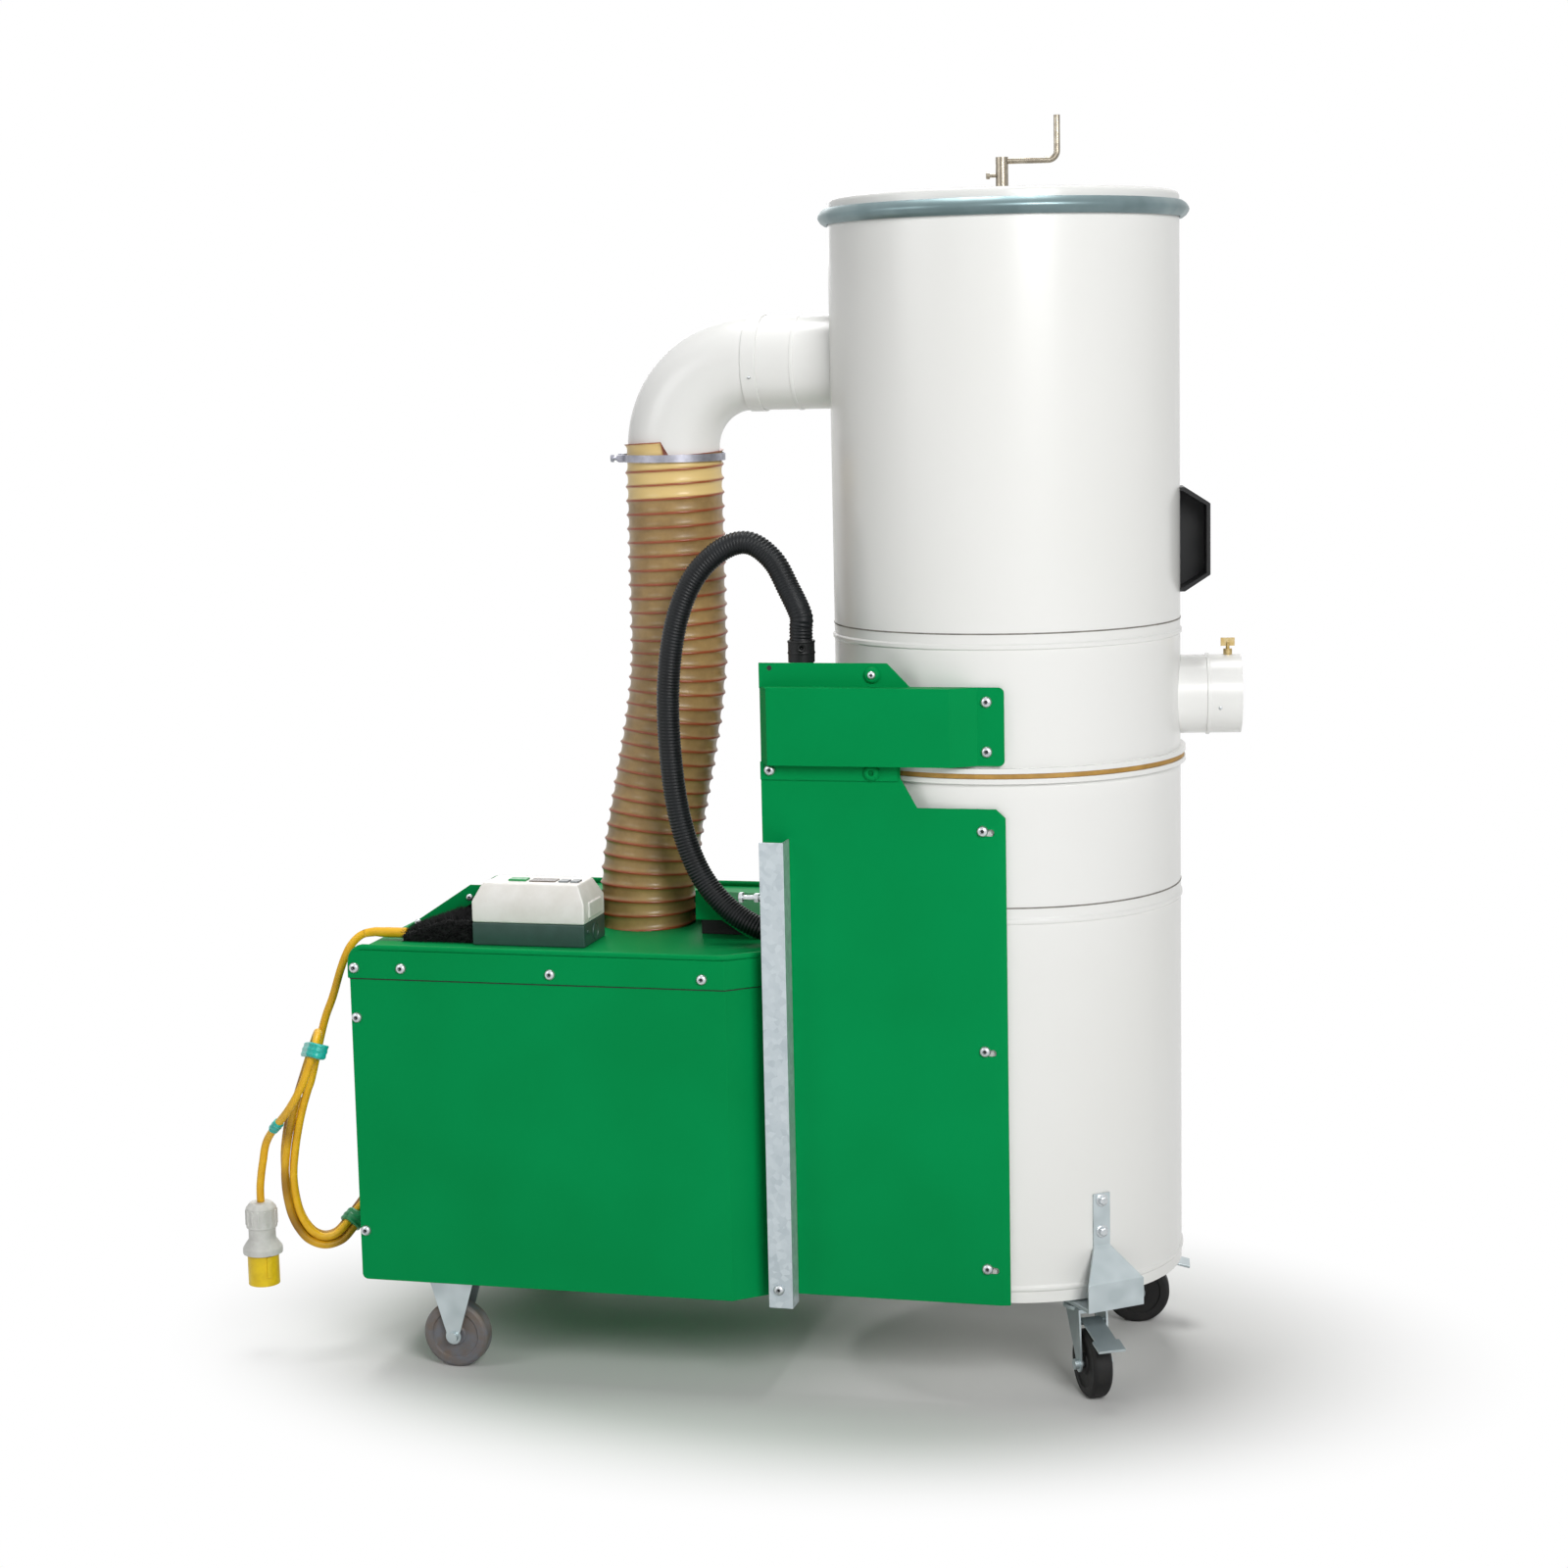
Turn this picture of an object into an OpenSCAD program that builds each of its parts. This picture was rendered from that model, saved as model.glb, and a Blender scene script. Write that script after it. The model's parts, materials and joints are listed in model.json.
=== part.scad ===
// Mobile cyclone dust extractor: a round filter tower with a dust bin,
// joined by a frame to a fan case, all standing on castors.
// Millimetres, +Z up, floor at zero, fan case towards -X, front towards -Y.

/* [Tower] */
// Outer diameter of the tower shell
tower_d = 550; // [530:5:580]
// Sheet thickness of the tower shell
tower_wall = 3; // [2:0.5:5]
// Height of the bin's bottom edge above the floor
bin_bottom_z = 165; // [160:1:175]
// Height of the dust bin
bin_h = 825; // [800:5:850]
// Thickness of the seal on the bin's rim
seal_t = 8; // [5:1:12]
// Height of the inlet section
inlet_h = 212; // [200:2:230]
// Height of the filter housing
housing_h = 636; // [600:5:700]
// Height of the lid above the filter housing
lid_h = 27; // [22:1:40]
// How far flanges stand out from the shell
flange_out = 8; // [6:1:10]
// Thickness of a flange
flange_t = 8; // [6:1:10]
// How far a rolled bead stands out
bead_out = 2.5; // [1:0.5:4]
// Height of a rolled bead
bead_h = 10; // [8:1:14]

/* [Clamp ring and crank] */
// Height of the lid's clamp ring
clamp_h = 25; // [23:1:32]
// How far the clamp ring stands out from the flanges
clamp_out = 8; // [5:1:10]
// Diameter of the crank's spindle
spindle_d = 10; // [8:1:12]
// Diameter of the crank's hub
hub_d = 20; // [18:1:26]
// Height of the crank's hub
hub_h = 52; // [45:1:60]
// Reach of the crank's arm
crank_reach = 86; // [70:1:110]
// Diameter of the crank's rod
crank_rod_d = 10; // [8:1:12]
// Height of the crank's tip above the lid
crank_tip_h = 122; // [110:1:150]

/* [Ducts and hoses] */
// Outer diameter of the outlet duct
outlet_d = 150; // [140:1:155]
// Height of the outlet's axis above the inlet section's top
outlet_rise = 412; // [380:1:440]
// Bend radius of the outlet elbow
elbow_r = 135; // [125:1:150]
// Length of the outlet duct from the shell to its elbow
outlet_len = 137; // [120:1:150]
// Outer diameter of the suction hose over its ribs
hose_od = 164; // [162:1:168]
// Number of ribs on the suction hose
hose_ribs = 35; // [25:1:40]
// Outer diameter of the inlet pipe
inlet_d = 125; // [100:1:130]
// How far the inlet pipe stands out from the shell
inlet_len = 95; // [80:1:120]
// Turn of the inlet pipe and the handle to the rear
inlet_turn = 10; // [0:1:20]
// Sheet thickness of the ducts
duct_wall = 2; // [1.5:0.5:3]
// Outer diameter of the bypass hose
bypass_d = 38; // [34:1:40]

/* [Handle] */
// Height of the tower's pull handle
handle_h = 164; // [140:1:180]
// Width of the pull handle
handle_w = 70; // [60:1:90]
// How far the pull handle stands out
handle_out = 46; // [40:1:55]
// Wall of the pull handle
handle_wall = 6; // [4:1:8]

/* [Frame] */
// Sheet thickness of the side plates and brackets
plate_t = 3; // [2:0.5:4]
// Reach of the side plates from the tower axis to the fan case
plate_left = 337; // [325:1:350]
// Reach of the side plates past the tower axis
plate_right = 45; // [40:1:60]
// Depth of the upper brackets' raised web
hat_d = 25; // [18:1:30]
// Width of an angle's front leg
angle_w = 39; // [34:1:42]
// Height of the angles
angle_h = 742; // [700:1:760]

/* [Fan case] */
// Length of the fan case
case_l = 683; // [660:1:720]
// Width of the fan case
case_w = 650; // [630:2:680]
// Height of the fan case's underside above the floor
case_bottom_z = 158; // [158:1:170]
// Height of the fan case with its cover
case_h = 547; // [520:1:580]
// Depth of the cover's folded edge
cover_skirt = 46; // [40:1:55]
// Sheet thickness of the fan case
case_wall = 2.5; // [2:0.5:4]
// Length of the corner chamfers at the tower end
chamfer_l = 55; // [40:1:60]
// Depth of the corner chamfers at the tower end
chamfer_d = 45; // [43:1:50]
// Height of the exhaust hood
hood_h = 78; // [70:1:90]
// Length of the control box
control_l = 190; // [170:1:195]
// Depth of the control box
control_d = 106; // [90:1:106]

/* [Castors] */
// Diameter of the wheels under the fan case
rigid_wheel_d = 110; // [100:1:114]
// Diameter of the wheels under the tower
swivel_wheel_d = 108; // [96:1:110]
// Width of the wheels
wheel_w = 32; // [28:1:36]
// Trail of the swivel castors
trail = 38; // [34:1:42]
// Direction of the front swivel castor
front_swing = -61; // [-180:1:180]
// Direction of the rear swivel castor
rear_swing = 8; // [-180:1:180]

/* [Hidden] */
$fn = 72;

paint_white = "#ececea";
paint_green = "#00914b";
zinc = "#c2ccd0";
rubber_black = "#1b1b1b";
hose_brown = "#8a7350";
cord_yellow = "#e8b51a";

// Overrun of cutting shapes past the faces they cut
overrun = 5;
// Gap between a flat sheet and the round shell beside it
sheet_gap = 0.3;
// Running clearance of a pin in its hole
run_fit = 0.08;

// Tower heights
tower_r = tower_d / 2;
shell_r = tower_r - tower_wall;
bin_top_z = bin_bottom_z + bin_h;
section_z = bin_top_z + seal_t;
housing_z = section_z + inlet_h;
housing_top_z = housing_z + housing_h;
lid_top_z = housing_top_z + lid_h;
foot_lip = 12;
bin_bead_zs = [23, 604];
inlet_bead_z = 182;
lid_flange_t = 6;
lid_bevel = 7;
lid_roll_share = 0.33;
seal_in_share = 0.25;

// Crank and its bush
bush_d = 44;
bush_h = 7;
crank_lift = 0.4;
crank_arm_drop = 0.8;
crank_bend_r = 14;
spindle_drop = 30;
set_screw_d = 6;
set_screw_l = 14;
set_screw_rise = 24;

// Pull handle
handle_rise = 41;
handle_cheek = 26;

// Inlet, outlet and hose places
inlet_rise = 87;
inlet_z = section_z + inlet_rise;
inlet_end = tower_r + inlet_len;
inlet_seam = 40;
inlet_boss_d = 14;
inlet_boss_h = 9;
inlet_stem_d = 6;
inlet_stem_h = 20;
inlet_wing = [22, 3, 13];
inlet_screw_in = 20;
outlet_z = housing_z + outlet_rise;
outlet_r = outlet_d / 2;
outlet_bore_r = outlet_r - duct_wall;
bend_reach = tower_r + outlet_len;
hose_top_reach = bend_reach + elbow_r;
sleeve_l = 24;
sleeve_t = 2.5;
outlet_seam_share = 0.38;
elbow_tail = 50;
hose_r = hose_od / 2;
hose_rib = 4;
hose_sides = 24;
hose_fit = 1.2;
hose_bore_r = (outlet_r + hose_fit) / cos(180 / hose_sides);
hose_lap = 13;
hose_top_z = outlet_z - elbow_r + hose_lap;
hose_top = [-hose_top_reach, 0];
hose_shift = [-58, -30];
hose_base = hose_top + hose_shift;
hose_bore_steps = 12;
hose_straight_share = 0.4;
band_h = 12;
band_t = 1.5;
band_drop = 33;
screw_box = [10, 22, 14];

// Fan case places, measured from the tower axis
case_right = plate_left;
case_left = case_right + case_l;
case_top_z = case_bottom_z + case_h;
half_w = case_w / 2;
case_roll_r = 25;
case_fold_r = 12;
spigot_h = 20;
hose_bottom_z = case_top_z;

// The part's origin lies midway between the fan case's end and the inlet's rim
inlet_reach = inlet_end * cos(inlet_turn) + inlet_d / 2 * sin(inlet_turn);
tower_x = (case_left - inlet_reach) / 2;

// Exhaust hood and the pieces on the cover, measured from the case's middle and front
hood_shift = 8.5;
hood_x = hood_shift - (case_left + case_right) / 2;
hood_end_in = 39;
hood_base_l = case_l - hood_end_in;
hood_fall = 120;
hood_top_l = hood_base_l - hood_fall * 2;
hood_front_in = 177;
hood_front_y = hood_front_in - half_w;
hood_rear_in = 125;
hood_rear_y = half_w - hood_rear_in;
hood_slope = atan2(hood_h, hood_fall);
hood_rear_h = 6;
roof_slope = atan2(hood_h - hood_rear_h, hood_rear_y - hood_front_y);
hood_lip = 48;
hood_left_lip = 27;
hood_step = 70;
hood_step_x = hood_x - hood_step;
slot_room = 8;
hose_slot_r = hose_r + slot_room;
foam_gap = 6;
foam_setback = 33;
foam_rear_in = 90;
control_shift = 65;
control_x = hood_x - control_shift;
control_front_in = 67;
control_front_y = control_front_in - half_w;
control_base_h = 37;
control_cover_h = 62;
control_bevel = 14;
gland_l = 30;
gland_end = [35, 90, 12];
brush_gap = 5;
brush_w = 91;
brush_x = [gland_end[0] + gland_l - case_left, control_x - control_l / 2 - brush_gap];
brush_rear = hood_front_y - brush_gap;
brush_y = [brush_rear - brush_w, brush_rear];
brush_h = [11, 37];
brush_rise_share = 0.62;

// Frame places
sheet_y = tower_r + bead_out + sheet_gap;
plate_face = sheet_y + plate_t;
plate_lift = 5;
plate_bottom_z = case_bottom_z + plate_lift;
plate_rise = 20;
plate_top_z = bin_top_z + plate_rise;
plate_step = 46;
plate_step_z = bin_top_z - plate_step;
plate_step_x = [-117, -91];
plate_bevel = 14;
plate_bend = 15;
hat_h = 120;
hat_z = [plate_top_z, plate_top_z + hat_h];
hat_fold_x = [-33, 5];
hat_rise_l = 17;
hat_end_r = 9;
hat_flange_h = 36;
hat_flange_x = [-135, -100];
hat_lap = 25;
hat_lap_x = -120;
angle_in = 4;
angle_drop = 8;
angle_bottom_z = case_bottom_z - angle_drop;
angle_leg = 38;

// Bypass fittings on the tower's fan side, and the way of the hose from the elbow's mouth
bypass_turn = 210;
bypass_r = bypass_d / 2;
cuff_t = 2;
cuff_r = bypass_r + cuff_t;
bypass_out = 67;
bypass_reach = tower_r + bypass_out;
bypass_bend = 34;
bypass_rise = 192;
bypass_top_z = section_z + bypass_rise;
bypass_drop = 268;
bypass_bottom_z = bin_top_z - bypass_drop;
spigot_out = 55;
spigot_reach = tower_r + spigot_out;
spigot_lead = 18;
bypass_mouth = ray_point(bypass_turn, bypass_reach, bypass_top_z);
bypass_way = [
    [0, 0, 0], [0, 0, 20], [0, 0, 40], [-22, 13, 80], [-49, 21, 125], [-89, 23, 152], [-134, 21, 140],
    [-179, 16, 95], [-209, 11, 20], [-222, 6, -80], [-219, 1, -190], [-204, -4, -290],
    [-174, -9, -370], [-129, -14, -425], [-74, -19, -457]
];
bypass_route = concat([for (p = bypass_way) bypass_mouth + p], [
    ray_point(bypass_turn, spigot_reach + spigot_lead * 2, bypass_bottom_z),
    ray_point(bypass_turn, spigot_reach + spigot_lead, bypass_bottom_z),
    ray_point(bypass_turn, spigot_reach, bypass_bottom_z)
]);

// Swivel castors and their brackets
bracket_turn = 50;
bracket_t = 3;
strap_y = tower_r + sheet_gap;
strap_w = 30;
bracket_w = 100;
bracket_z = [157, 200, 247, 332];
bracket_out = 42;
bracket_base_t = 6;
bracket_in = 140;
swivel_in = 53;
swivel_reach = tower_r - swivel_in;
castor_plate = [84, 80, 5];
race_d = 52;
race_h = 8;
pin_d = 12;
crown_gap = 1.5;
crown_t = 6;
crown_d = 66;
fork_gap = 5;
fork_t = 3;
fork_eye_r = 13;
fork_spread_share = 0.9;
axle_d = 10;
nut_d = 17;
nut_h = 7;
fork_top_w = [-24, 42];
pedal_pin_d = 6;
pedal_rise = 12;
pedal_pin = [30, swivel_wheel_d + pedal_rise];
pedal_barrel_d = 12;
pedal_w = 34;
pedal_t = 4;
pedal_reach = 98;
pedal_slope = 14;
pedal_tip_w = 44;
pedal_tip_l = 30;
rivet_d = 20;
rivet_h = 4;

// Heights of the swivel castors' pieces, from the bracket's base downwards
castor_top_z = bracket_z[0];
race_z = castor_top_z - castor_plate[2] - race_h;
crown_z = race_z - crown_gap - crown_t;
fork_half = wheel_w / 2 + fork_gap;

// Rigid castors under the fan case
rigid_end_in = 140;
rigid_x = rigid_end_in - case_left;
rigid_side_in = 67;
rigid_y = half_w - rigid_side_in;
rigid_plate = [104, 84, 5];
rigid_top_w = 78;
tread_bevel = 5;
wheel_face_in = 3;
wheel_rim = 16;
wheel_hub_d = 34;

// Supply cord, measured from the top corner of the fan case's front and far end
cord_corner = [-case_left, -half_w, case_top_z];
cord_d = 13;
cord_sides = 10;
gland_d = 22;
gland_foot_w = 18;
lead_way = [
    gland_end, [23, 90, 12], [11, 90, 12], [-10, 85, 7], [-28, 79, -12], [-43, 76, -45], [-60, 75, -95],
    [-78, 75, -140], [-89, 75, -170]
];
hank_way = [
    [-89, 75, -170], [-106, 75, -215], [-130, 73, -285], [-146, 73, -355], [-152, 75, -415],
    [-142, 80, -475], [-116, 92, -512], [-84, 112, -512], [-62, 142, -482], [-56, 178, -440],
    [-54, 206, -395]
];
hank_r = 20;
hank_end_r = 30;
hank_end_share = 0.75;
tail_way = [
    [-98, 66, -205], [-132, 61, -245], [-162, 61, -290], [-186, 64, -350], [-200, 69, -396],
    [-204, 71, -422], [-204, 71, -435], [-204, 71, -448]
];
plug_z = [-588, -535, -525, -510, -491, -457, -448];
plug_sleeve_r = 26;
plug_flange_r = 33;
plug_neck_r = 22.5;
plug_cap_r = 25.5;
plug_top_r = 18;
plug_sleeve_bore = 22;
plug_sleeve_depth = 42;
route_steps = 3;

// Moves from the tower axis, where all sizes are measured, to the part's origin
module at_tower() {
    translate([tower_x, 0, 0]) children();
}

module at_turn(turn, reach = 0, z = 0) {
    rotate([0, 0, turn]) translate([reach, 0, z]) children();
}

// Lays a profile of x and z upright and gives it depth from y0 to y1
module upright(y0, y1) {
    translate([0, y1, 0]) rotate([90, 0, 0]) linear_extrude(y1 - y0) children();
}

module rear_copy() {
    mirror([0, 1, 0]) children();
}

module tower_core(r = tower_r) {
    cylinder(r = r, h = lid_top_z);
}

module bead_profile(z) {
    translate([tower_r, z])
        polygon([[-tower_wall, -bead_h / 2], [0, -bead_h / 2], [bead_out, -bead_h / 4],
            [bead_out, bead_h / 4], [0, bead_h / 2], [-tower_wall, bead_h / 2]]);
}

module wall_profile(z, h) {
    translate([shell_r, z]) square([tower_wall, h]);
}

module flange_profile(z, t) {
    translate([shell_r, z]) square([tower_wall + flange_out, t]);
}

// A pipe lying along a ray from the tower axis, its end cut to the shell
module saddle_pipe(r, bore_r, reach, z) {
    difference() {
        translate([0, 0, z]) rotate([0, 90, 0]) cylinder(r = r, h = reach);
        tower_core();
        if (bore_r > 0)
            translate([0, 0, z]) rotate([0, 90, 0]) cylinder(r = bore_r, h = reach + overrun);
    }
}

module ring(r_in, r_out, h) {
    rotate_extrude() translate([r_in, 0]) square([r_out - r_in, h]);
}

module dust_bin() {
    color(paint_white) rotate_extrude() {
        wall_profile(bin_bottom_z, bin_h);
        flange_profile(bin_top_z - flange_t, flange_t);
        translate([shell_r - foot_lip, bin_bottom_z]) square([foot_lip + tower_wall, tower_wall]);
        for (z = bin_bead_zs) bead_profile(bin_bottom_z + z);
    }
}

module bin_floor() {
    color(paint_white)
        translate([0, 0, bin_bottom_z + tower_wall]) cylinder(r = shell_r - sheet_gap, h = tower_wall);
}

module bin_seal() {
    color("#b98f45") translate([0, 0, bin_top_z])
        ring(shell_r, tower_r + flange_out - seal_t * seal_in_share, seal_t);
}

module inlet_section() {
    color(paint_white) difference() {
        rotate_extrude() {
            wall_profile(section_z, inlet_h);
            flange_profile(section_z, flange_t);
            bead_profile(section_z + inlet_bead_z + bead_h);
        }
        at_turn(inlet_turn, 0, inlet_z)
            rotate([0, 90, 0]) cylinder(r = inlet_d / 2 - duct_wall, h = inlet_end);
    }
}

module inlet_pipe() {
    color(paint_white) at_turn(inlet_turn) {
        saddle_pipe(inlet_d / 2, inlet_d / 2 - duct_wall, inlet_end, inlet_z);
        translate([tower_r + inlet_seam, 0, inlet_z]) rotate([0, 90, 0])
            ring(inlet_d / 2 - duct_wall / 2, inlet_d / 2 + bead_out, bead_h / 2);
    }
}

module inlet_screw() {
    wing_z = inlet_d / 2 + inlet_stem_h - inlet_wing[2] / 2;
    color("#c9b27a") at_turn(inlet_turn, inlet_end - inlet_screw_in, inlet_z) difference() {
        union() {
            cylinder(d = inlet_boss_d, h = inlet_d / 2 + inlet_boss_h);
            cylinder(d = inlet_stem_d, h = inlet_d / 2 + inlet_stem_h);
            translate([-inlet_wing[0] / 2, -inlet_wing[1] / 2, wing_z]) cube(inlet_wing);
        }
        translate([-inlet_boss_d, 0, 0]) rotate([0, 90, 0]) cylinder(d = inlet_d, h = inlet_boss_d * 2);
    }
}

module filter_housing() {
    color(paint_white) difference() {
        rotate_extrude() {
            wall_profile(housing_z, housing_h);
            flange_profile(housing_top_z - flange_t, flange_t);
        }
        translate([0, 0, outlet_z]) rotate([0, -90, 0]) cylinder(r = outlet_bore_r, h = tower_d);
    }
}

module tower_lid() {
    under_z = lid_top_z - tower_wall;
    roll = lid_bevel * lid_roll_share;
    color(paint_white) difference() {
        rotate_extrude() {
            polygon([[0, under_z], [shell_r, under_z], [shell_r, housing_top_z],
                [tower_r + flange_out, housing_top_z], [tower_r + flange_out, housing_top_z + lid_flange_t],
                [tower_r, housing_top_z + lid_flange_t], [tower_r, lid_top_z - lid_bevel],
                [tower_r - roll, lid_top_z - roll], [tower_r - lid_bevel, lid_top_z],
                [0, lid_top_z]]);
        }
        cylinder(d = spindle_d + run_fit * 2, h = lid_top_z + overrun);
    }
}

module lid_clamp_ring() {
    clamp_r = tower_r + flange_out + clamp_out;
    lip_r = tower_r + sheet_gap;
    groove_r = tower_r + flange_out + sheet_gap;
    mid_z = housing_top_z + (lid_flange_t - flange_t) / 2;
    low_z = housing_top_z - flange_t;
    high_z = housing_top_z + lid_flange_t;
    color(zinc) rotate_extrude()
        polygon([[lip_r, mid_z - clamp_h / 2], [clamp_r, mid_z - clamp_h / 2],
            [clamp_r, mid_z + clamp_h / 2], [lip_r, mid_z + clamp_h / 2], [lip_r, high_z],
            [groove_r, high_z], [groove_r, low_z], [lip_r, low_z]]);
}

module crank_bush() {
    color(zinc) translate([0, 0, lid_top_z]) ring(spindle_d / 2 + run_fit, bush_d / 2, bush_h);
}

module crank() {
    rod_r = crank_rod_d / 2;
    bend_r = crank_bend_r;
    hub_z = lid_top_z + bush_h + crank_lift;
    arm_z = hub_z + hub_h - rod_r - crank_arm_drop;
    color(zinc) at_turn(inlet_turn) {
        translate([0, 0, lid_top_z - spindle_drop])
            cylinder(d = spindle_d, h = hub_z + hub_h / 2 - lid_top_z + spindle_drop);
        translate([0, 0, hub_z]) cylinder(d = hub_d, h = hub_h);
        translate([0, 0, hub_z + set_screw_rise]) rotate([0, -90, 0])
            cylinder(d = set_screw_d, h = hub_d / 2 + set_screw_l);
        translate([0, 0, arm_z]) rotate([0, 90, 0]) cylinder(r = rod_r, h = crank_reach - bend_r);
        translate([crank_reach - bend_r, 0, arm_z + bend_r]) rotate([90, 0, 0])
            rotate_extrude(angle = -90) translate([bend_r, 0]) circle(r = rod_r);
        translate([crank_reach, 0, arm_z + bend_r])
            cylinder(r = rod_r, h = lid_top_z + crank_tip_h - arm_z - bend_r);
    }
}

module tower_handle() {
    base_z = housing_z + handle_rise;
    root = tower_r - handle_wall;
    rim = tower_r + handle_out;
    color(rubber_black) at_turn(inlet_turn, 0, base_z) difference() {
        upright(-handle_w / 2, handle_w / 2)
            polygon([[root, 0], [tower_r + handle_wall, 0], [rim, handle_cheek],
                [rim, handle_h - handle_cheek], [tower_r + handle_wall, handle_h], [root, handle_h]]);
        upright(-handle_w / 2 - overrun, handle_w / 2 - handle_wall)
            polygon([[root - overrun, handle_wall], [tower_r + handle_wall / 2, handle_wall],
                [rim - handle_wall, handle_cheek + handle_wall / 2],
                [rim - handle_wall, handle_h - handle_cheek - handle_wall / 2],
                [tower_r + handle_wall / 2, handle_h - handle_wall],
                [root - overrun, handle_h - handle_wall]]);
        translate([0, 0, -base_z]) tower_core();
    }
}

module outlet_spigot() {
    color(paint_white) at_turn(180) {
        saddle_pipe(outlet_r, outlet_bore_r, bend_reach - sleeve_l / 2, outlet_z);
        translate([tower_r + outlet_len * outlet_seam_share, 0, outlet_z]) rotate([0, 90, 0])
            ring(outlet_r - duct_wall / 2, outlet_r + bead_out / 2, bead_h / 2);
    }
}

module outlet_sleeve() {
    color(paint_white) at_turn(180) translate([bend_reach - sleeve_l, 0, outlet_z]) rotate([0, 90, 0])
        ring(outlet_r, outlet_r + sleeve_t, sleeve_l);
}

module duct_ring() {
    difference() {
        circle(r = outlet_r);
        circle(r = outlet_bore_r);
    }
}

module outlet_elbow() {
    color(paint_white) {
        translate([-bend_reach, 0, outlet_z]) rotate([0, 90, 0]) linear_extrude(sleeve_l / 2) duct_ring();
        translate([-bend_reach, 0, outlet_z - elbow_r]) rotate([90, 0, 0])
            rotate([0, 0, 90]) rotate_extrude(angle = 90) translate([elbow_r, 0]) duct_ring();
        translate([-hose_top_reach, 0, outlet_z - elbow_r - elbow_tail])
            linear_extrude(elbow_tail) duct_ring();
    }
}

module hose_clamp() {
    clamp_r = hose_r + sheet_gap;
    color(zinc) translate([-hose_top_reach, 0, hose_top_z - band_drop]) {
        ring(clamp_r, clamp_r + band_t, band_h);
        translate([-clamp_r - screw_box[0], -screw_box[1] / 2, (band_h - screw_box[2]) / 2]) cube(screw_box);
    }
}

// Smooth step of the hose's lean, from 0 at the top to 1 at the base
function ease(t) = t * t * (3 - 2 * t);
function hose_lean(z) =
    ease(max(0, ((hose_top_z - z) / (hose_top_z - hose_bottom_z) - hose_straight_share)
        / (1 - hose_straight_share)));
function hose_centre(z) = hose_top + hose_shift * hose_lean(z);

module suction_hose() {
    sides = hose_sides;
    drop = (hose_top_z - hose_bottom_z) / hose_ribs;
    outside = [for (i = [0 : hose_ribs * 2])
        [i % 2 == 0 ? hose_r - hose_rib : hose_r, hose_top_z - i * drop / 2]];
    inside = [for (i = [0 : hose_bore_steps])
        [hose_bore_r, hose_bottom_z + i * (hose_top_z - hose_bottom_z) / hose_bore_steps]];
    loop = concat(outside, inside);
    count = len(loop);
    points = [for (p = loop, k = [0 : sides - 1]) let (c = hose_centre(p[1]), a = 360 * k / sides)
        [c[0] + p[0] * cos(a), c[1] + p[0] * sin(a), p[1]]];
    faces = [for (j = [0 : count - 1], k = [0 : sides - 1]) let (n = (j + 1) % count, m = (k + 1) % sides)
        each [[j * sides + k, j * sides + m, n * sides + m], [j * sides + k, n * sides + m, n * sides + k]]];
    color(hose_brown) polyhedron(points, faces);
}

module bypass_elbow() {
    root_z = bypass_top_z - bypass_bend * 2;
    color(rubber_black) at_turn(bypass_turn) {
        saddle_pipe(bypass_r, 0, bypass_reach - bypass_bend, root_z);
        translate([bypass_reach - bypass_bend, 0, root_z + bypass_bend]) rotate([90, 0, 0])
            rotate_extrude(angle = -90) translate([bypass_bend, 0]) circle(r = bypass_r);
        translate([bypass_reach, 0, root_z + bypass_bend]) cylinder(r = cuff_r, h = bypass_bend);
    }
}

module bypass_spigot() {
    color(rubber_black) at_turn(bypass_turn)
        saddle_pipe(cuff_r, 0, spigot_reach, bypass_bottom_z);
}

function unit(v) = v / norm(v);
function ray_point(turn, reach, z) = [reach * cos(turn), reach * sin(turn), z];
function spline_point(a, b, c, d, t) =
    b + t * (c - a) / 2 + t * t * (2 * a - 5 * b + 4 * c - d) / 2 + t * t * t * (3 * b - a - 3 * c + d) / 2;
function spline(route, steps) = let (last = len(route) - 1) [
    for (i = [0 : last - 1], s = [0 : steps - 1])
        spline_point(route[max(i - 1, 0)], route[i], route[i + 1], route[min(i + 2, last)], s / steps),
    route[last]
];

// A closed round tube along a path, with one radius for each of its points
module tube(path, radii, sides, across = [0, 1, 0]) {
    last = len(path) - 1;
    points = [for (i = [0 : last])
        let (t = unit(path[min(i + 1, last)] - path[max(i - 1, 0)]), u = unit(cross(across, t)),
            v = cross(t, u))
        for (k = [0 : sides - 1])
            path[i] + radii[i] * (cos(360 * k / sides) * u + sin(360 * k / sides) * v)];
    wall = [for (i = [0 : last - 1], k = [0 : sides - 1])
        let (a = i * sides, b = a + sides, m = (k + 1) % sides)
        each [[a + k, b + k, b + m], [a + k, b + m, a + m]]];
    start_cap = [for (k = [0 : sides - 1]) k];
    end_cap = [for (k = [sides - 1 : -1 : 0]) last * sides + k];
    polyhedron(points, concat([start_cap], wall, [end_cap]));
}

module even_tube(path, r) {
    tube(path, [for (p = path) r], cord_sides);
}

module bypass_hose() {
    color(rubber_black) even_tube(spline(bypass_route, route_steps), bypass_r);
}

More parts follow.
